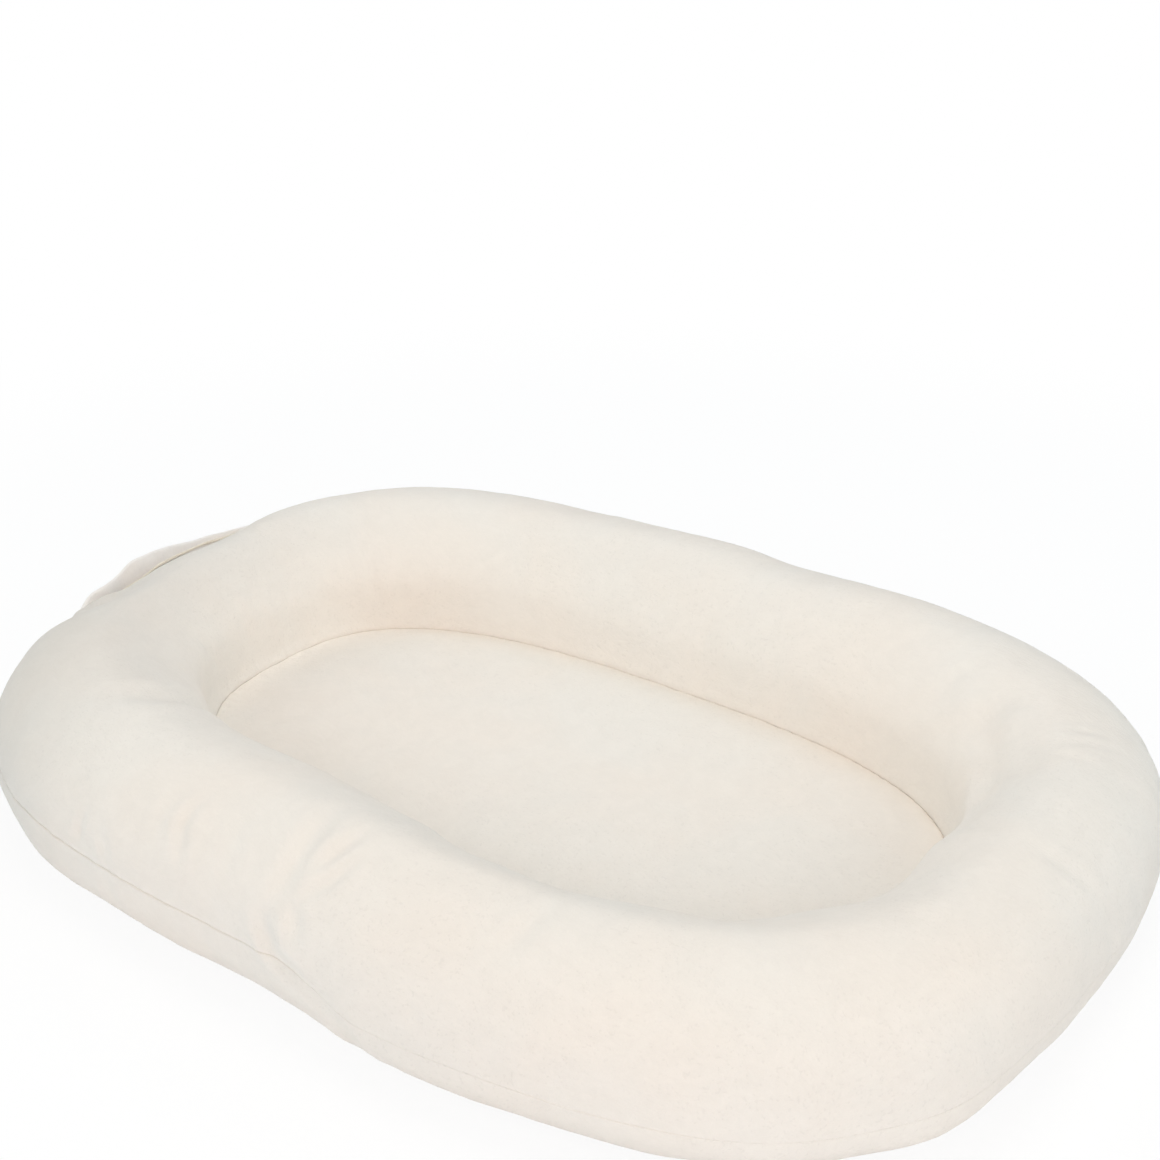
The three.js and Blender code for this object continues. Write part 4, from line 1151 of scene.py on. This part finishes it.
def stitch(one, two, middle_share, length):
    """One dash of thread on the strap's face, round a share of the way from one place to another."""
    spread = np.linspace(-1, 1, STITCH_RING_COUNT)
    along = middle_share + spread * STITCH_LENGTH / 2 / length
    y, z = (one[axis] + (two[axis] - one[axis]) * along for axis in (0, 1))
    x = strap_face(y, z) + STITCH_SINK - STITCH_ARCH * np.cos(spread * math.pi / 2)
    radius = STITCH_RADIUS * np.sqrt(np.clip(1 - spread ** STITCH_END_POWER, STITCH_LEAST_SHARE, 1))
    return tube_rings(np.column_stack([x, y, z]), radius, STITCH_SIDE_COUNT, STITCH_ACROSS)


def box_stitches():
    for word, side in (("near", -1), ("far", 1)):
        dashes = []
        for one, two in box_stretches(side):
            length = math.dist(one, two)
            count = max(int(length / STITCH_PITCH), 1)
            dashes += [stitch(one, two, (index + 0.5) / count, length) for index in range(count)]
        settle(tubes_object("box_stitch_" + word, dashes, "thread"), "thread", "handle_stitch_" + word)


# Underside: two woven panels that meet at the zip
ZIP_LENGTH = 0.520
ZIP_SLOT = 0.008
ZIP_TAPE_WIDTH = 0.012
ZIP_TAPE_THICKNESS = 0.0006
ZIP_TAPE_TAIL = 0.010
ZIP_TAPE_COLUMN_COUNT = 361
ZIP_TAPE_ROW_COUNT = 13
ZIP_RIB_COUNT = 6
ZIP_RIB = 0.00006
ZIP_RIB_ROOM = 0.0001
COIL_WIDTH = 0.0024
COIL_HEIGHT = 0.0026
COIL_PITCH = 0.0025
COIL_STEPS = 12
COIL_SIDE_COUNT = 6
COIL_WIRE = 0.0003
COIL_START_SHARE = 0.3
COIL_SWAY_SHARE = 0.1
COIL_CORNER_POWER = 0.7
STOP_LENGTH = 0.004
BASE_EDGE_ANGLE = inner_angle(BASE_TOP)
TAPE_TOP = BASE_HEIGHT - CLEARANCE
TAPE_BOTTOM = TAPE_TOP - ZIP_TAPE_THICKNESS
TAPE_INNER = COIL_WIDTH + 1.5 * CLEARANCE
COIL_MIDDLE = (TAPE_TOP + TAPE_BOTTOM) / 2
BASE_ROW_COUNT = 48
BASE_EDGE_MARGIN = 0.0006
BASE_EDGE_SHARE = 0.995
BASE_ROW_POWER = 1.6
BASE_SLOT_EASE = 0.002
BASE_HEM_WIDTH = 0.011
BASE_HEM_EASE = 0.001
BASE_HEM_DROP = 0.00025
BASE_LIFT = 0.0003
BASE_UNEVENNESS = [(0.0004, 0.06, BROAD_TABLE), (0.0002, 0.02, MIDDLE_TABLE)]


def border_of(rows, columns):
    """Numbers of the points along the border of a grid, all the way round."""
    last = (rows - 1) * columns
    border = [*range(columns), *range(2 * columns - 1, last + columns, columns)]
    return border + [*range(last + columns - 2, last - 1, -1), *range(last - columns, 0, -columns)]


def base_panel(word, side):
    """Half of the underside, with a hem along its straight edge and a slot for the zip."""
    turns = TURNS[:STATION_COUNT // 2 + 1]
    outline = rim_point(turns, BASE_EDGE_ANGLE)[:, :2] - section_frame(turns)[1] * CLEARANCE
    outline = outline[outline[:, 1] > BASE_EDGE_MARGIN]
    slot_end = ZIP_LENGTH / 2 + STOP_LENGTH + 2 * CLEARANCE
    along = outline[:, 0] * BASE_EDGE_SHARE
    in_slot = smooth_step((slot_end + BASE_SLOT_EASE - np.abs(along)) / BASE_SLOT_EASE)
    near_edge = CLEARANCE / 2 + (ZIP_SLOT / 2 - CLEARANCE / 2) * in_slot
    near_edge = np.minimum(near_edge, outline[:, 1] - BASE_EDGE_MARGIN / 2)
    first = np.column_stack([along, near_edge])
    shares = np.linspace(0, 1, BASE_ROW_COUNT)[:, None, None] ** BASE_ROW_POWER
    plan = first[None] + (outline - first)[None] * shares
    distance = plan[..., 1] - near_edge[None]
    hem = smooth_step((BASE_HEM_WIDTH - distance) / BASE_HEM_EASE) * in_slot[None]
    edge_gap = np.linalg.norm(outline[None] - plan, axis=-1)
    ease = smooth_step(np.minimum(distance, edge_gap) / LEVEL_EASE)
    sag = layered_noise(with_height(plan, BASE_HEIGHT), BASE_UNEVENNESS) * ease
    under = with_height(plan, BASE_HEIGHT + BASE_LIFT + sag - BASE_HEM_DROP * hem)
    points = np.stack([under, with_height(plan, BASE_TOP + sag)]) * np.array([1, side, 1])
    count = plan.shape[0] * plan.shape[1]
    faces = grid_faces(*plan.shape[:2], closed=False)
    faces += [[corner + count for corner in reversed(face)] for face in faces]
    border = border_of(*plan.shape[:2])
    faces += [[two, one, one + count, two + count] for one, two in zip(border, border[1:] + border[:1])]
    panel = mesh_object("underside_" + word, points, faces, "woven_cotton")
    settle(panel, "woven_cotton", "base_panel_" + word)


def zip_tape(word, side):
    """One tape of the zip, finely ribbed along its length."""
    x = np.linspace(-1, 1, ZIP_TAPE_COLUMN_COUNT)[None, :] * (ZIP_LENGTH / 2 + ZIP_TAPE_TAIL)
    share = np.linspace(0, 1, ZIP_TAPE_ROW_COUNT)[:, None]
    y = (TAPE_INNER + share * ZIP_TAPE_WIDTH) * side
    rib = ZIP_RIB * np.cos(share * ZIP_RIB_COUNT * FULL_TURN)
    top = spread_points(x, y, TAPE_TOP + rib - ZIP_RIB_ROOM)
    low = spread_points(x, y, TAPE_BOTTOM + rib + ZIP_RIB_ROOM)
    loops = np.concatenate([top, low[::-1]])
    faces = loop_faces(loops, closed=False)
    rows, columns = loops.shape[:2]
    for column in (0, columns - 1):
        for row in range(ZIP_TAPE_ROW_COUNT - 1):
            facing = rows - 1 - row
            faces.append([spot * columns + column for spot in (row, row + 1, facing - 1, facing)])
    tape = mesh_object("zip_cloth_" + word, loops, faces, "zip_cloth")
    settle(tape, "zip_tape", "zip_tape_" + word)


def zip_coil(word, side):
    """A spiral of nylon wire with flat teeth, half a pitch out of step with its neighbour."""
    turn_count = int(ZIP_LENGTH / COIL_PITCH) - 1
    at = np.arange(turn_count * COIL_STEPS + 1) / COIL_STEPS
    phase = at * FULL_TURN
    shift = 0 if side > 0 else COIL_PITCH / 2
    x = -ZIP_LENGTH / 2 + COIL_PITCH * (at + COIL_START_SHARE) + shift
    x = x + COIL_SWAY_SHARE * COIL_PITCH * np.sin(2 * phase)
    reach = (COIL_WIDTH / 2 - COIL_WIRE) * signed_power(np.cos(phase), COIL_CORNER_POWER)
    y = CLEARANCE / 2 + COIL_WIDTH / 2 + reach
    z = COIL_MIDDLE + (COIL_HEIGHT / 2 - COIL_WIRE) * signed_power(np.sin(phase), COIL_CORNER_POWER)
    rings = tube_rings(np.column_stack([x, y * side, z]), COIL_WIRE, COIL_SIDE_COUNT, (1, 0, 0))
    settle(tubes_object("zip_spiral_" + word, [rings], "zip_nylon"), "zip_plastic", "zip_coil_" + word)


# The zip's rigid pieces: node, name, width of its softened edges, and body
ZIP_METAL_PIECES = [
    ("zip_stop_closed", "zip_stop_foot", 0.0004, "cover"),
    ("zip_stop_open", "zip_stop_head", 0.0004, "cover"),
    ("zip_slider", "zip_slide", 0.0003, "slider"),
    ("zip_pull", "zip_tab", 0.00025, "pull"),
]
SAME_PLANE_ANGLE = math.radians(3)
SHARP_ANGLE = 0.6
BEVEL_SEGMENT_COUNT = 3


def bevelled(node, name, width, body):
    """A rigid piece of the zip with softened edges."""
    mesh = frame["nodes"][node].data.copy()
    mesh.name = name
    shape = bmesh.new()
    shape.from_mesh(mesh)
    bmesh.ops.dissolve_limit(shape, angle_limit=SAME_PLANE_ANGLE, verts=shape.verts, edges=shape.edges)
    inner = [edge for edge in shape.edges if len(edge.link_faces) == 2]
    sharp = [edge for edge in inner if edge.calc_face_angle() > SHARP_ANGLE]
    bmesh.ops.bevel(shape, geom=sharp, offset=width, segments=BEVEL_SEGMENT_COUNT, profile=0.5,
                    affect="EDGES", clamp_overlap=True)
    shape.to_mesh(mesh)
    shape.free()
    mesh.materials.clear()
    mesh.materials.append(FINISHES["zip_metal"])
    mesh.polygons.foreach_set("use_smooth", [True] * len(mesh.polygons))
    settle(place_object(name, mesh), "zip_metal", node, body=body)


def underside():
    for word, side in (("near", -1), ("far", 1)):
        base_panel(word, side)
        zip_tape(word, side)
        zip_coil(word, side)
    for values in ZIP_METAL_PIECES:
        bevelled(*values)


inner_pieces()
strap()
box_stitches()
underside()


# Floor, backdrop, lamps and camera
FLOOR_SIZE = 30
FLOOR_TONE = (0.965, 0.975, 1.0)
FLOOR_GLOW_NEAR = 0.88
FLOOR_GLOW_START = 0.75
FLOOR_GLOW_END = 1.35
WORLD_STRENGTH = 0.01
CAMERA_PLACE = (0.7054, -0.9396, 0.7685)
CAMERA_TARGET = (-0.1681, 0.2587, 0.0528)
CAMERA_SENSOR_WIDTH = 36
CAMERA_LENS = 54.54
CAMERA_CLIP_START = 0.01
CAMERA_CLIP_END = 100
LAMP_DISTANCE = 2.6
LAMP_SIZE = 1.6
# Name, azimuth, elevation, power and colour
LAMPS = [
    ("lamp_top", 0, 90, 22.0, (1, 0.959, 0.894)), ("lamp_front", 20, 35, 17.5, (1, 0.828, 0.719)),
    ("lamp_low_right", 45, 20, 14.3, (0.869, 0.937, 1)), ("lamp_back_high", 180, 60, 14.0, (0.758, 0.906, 1)),
    ("lamp_right", 80, 25, 11.4, (0.957, 1, 0.992)), ("lamp_front_left", 315, 20, 18.0, (0.681, 0.882, 1)),
    ("lamp_back_right", 135, 30, 11.8, (0.846, 0.952, 1)), ("lamp_left", 280, 30, 9.9, (0.948, 1, 0.942)),
    ("lamp_back_left", 225, 30, 9.6, (0.915, 0.884, 1)),
]


def seen_directly(tree):
    """A socket that is 1 for what the camera sees directly, in gloss or through glass."""
    path = add_node(tree, "LightPath").outputs
    either = math_node(tree, "MAXIMUM", path["Is Camera Ray"], path["Is Glossy Ray"])
    return math_node(tree, "MAXIMUM", either, path["Is Transmission Ray"])


def stage_material():
    """White where it is seen, with the object's shadow kept, and a pale tone for what it throws back."""
    material = bpy.data.materials.new("stage")
    material.use_nodes = True
    tree = material.node_tree
    tree.nodes.clear()
    cloth = add_node(tree, "BsdfDiffuse", {"Color": (*FLOOR_TONE, 1)}).outputs[0]
    pale = add_node(tree, "BsdfDiffuse", {"Color": (1, 1, 1, 1)}).outputs[0]
    glow = add_node(tree, "Emission", {"Color": (1, 1, 1, 1)}).outputs[0]
    place = add_node(tree, "TexCoord").outputs["Object"]
    away = add_node(tree, "VectorMath", {0: place}, operation="LENGTH").outputs["Value"]
    share = rescale(tree, away, FLOOR_GLOW_START, FLOOR_GLOW_END, FLOOR_GLOW_NEAR, 1)
    seen = add_node(tree, "MixShader", {0: share, 1: pale, 2: glow}).outputs[0]
    pick = add_node(tree, "MixShader", {0: seen_directly(tree), 1: cloth, 2: seen}).outputs[0]
    add_node(tree, "OutputMaterial", {"Surface": pick})
    return material


def floor():
    mesh = bpy.data.meshes.new("floor")
    half = FLOOR_SIZE / 2
    corners = [(-half, -half, 0), (half, -half, 0), (half, half, 0), (-half, half, 0)]
    mesh.from_pydata(corners, [], [(0, 1, 2, 3)])
    mesh.materials.append(stage_material())
    place_object("floor", mesh)


def aim(thing, eye, target):
    thing.location = eye
    thing.rotation_mode = "QUATERNION"
    thing.rotation_quaternion = (Vector(target) - Vector(eye)).to_track_quat("-Z", "Y")


def camera():
    data = bpy.data.cameras.new("camera")
    data.sensor_width = CAMERA_SENSOR_WIDTH
    data.lens = CAMERA_LENS
    data.clip_start = CAMERA_CLIP_START
    data.clip_end = CAMERA_CLIP_END
    thing = place_object("camera", data)
    aim(thing, CAMERA_PLACE, CAMERA_TARGET)
    bpy.context.scene.camera = thing


def lamps():
    """Round softboxes about the object. Azimuth 0 is the near side and 90 the foot end."""
    for name, azimuth, elevation, power, colour in LAMPS:
        data = bpy.data.lights.new(name, "AREA")
        data.shape = "DISK"
        data.size = LAMP_SIZE
        data.energy = power
        data.color = colour
        around, up = math.radians(azimuth), math.radians(elevation)
        away = Vector((math.sin(around) * math.cos(up), -math.cos(around) * math.cos(up), math.sin(up)))
        aim(place_object(name, data), away * LAMP_DISTANCE, (0, 0, 0))


def world():
    made = bpy.data.worlds.new("studio")
    bpy.context.scene.world = made
    made.use_nodes = True
    tree = made.node_tree
    background = tree.nodes["Background"]
    background.inputs["Color"].default_value = (1, 1, 1, 1)
    inputs = {"Value": seen_directly(tree), "To Min": WORLD_STRENGTH, "To Max": 1.0}
    level = add_node(tree, "MapRange", inputs).outputs["Result"]
    tree.links.new(level, background.inputs["Strength"])


floor()
camera()
lamps()
world()
bpy.context.scene.view_settings.view_transform = "Standard"
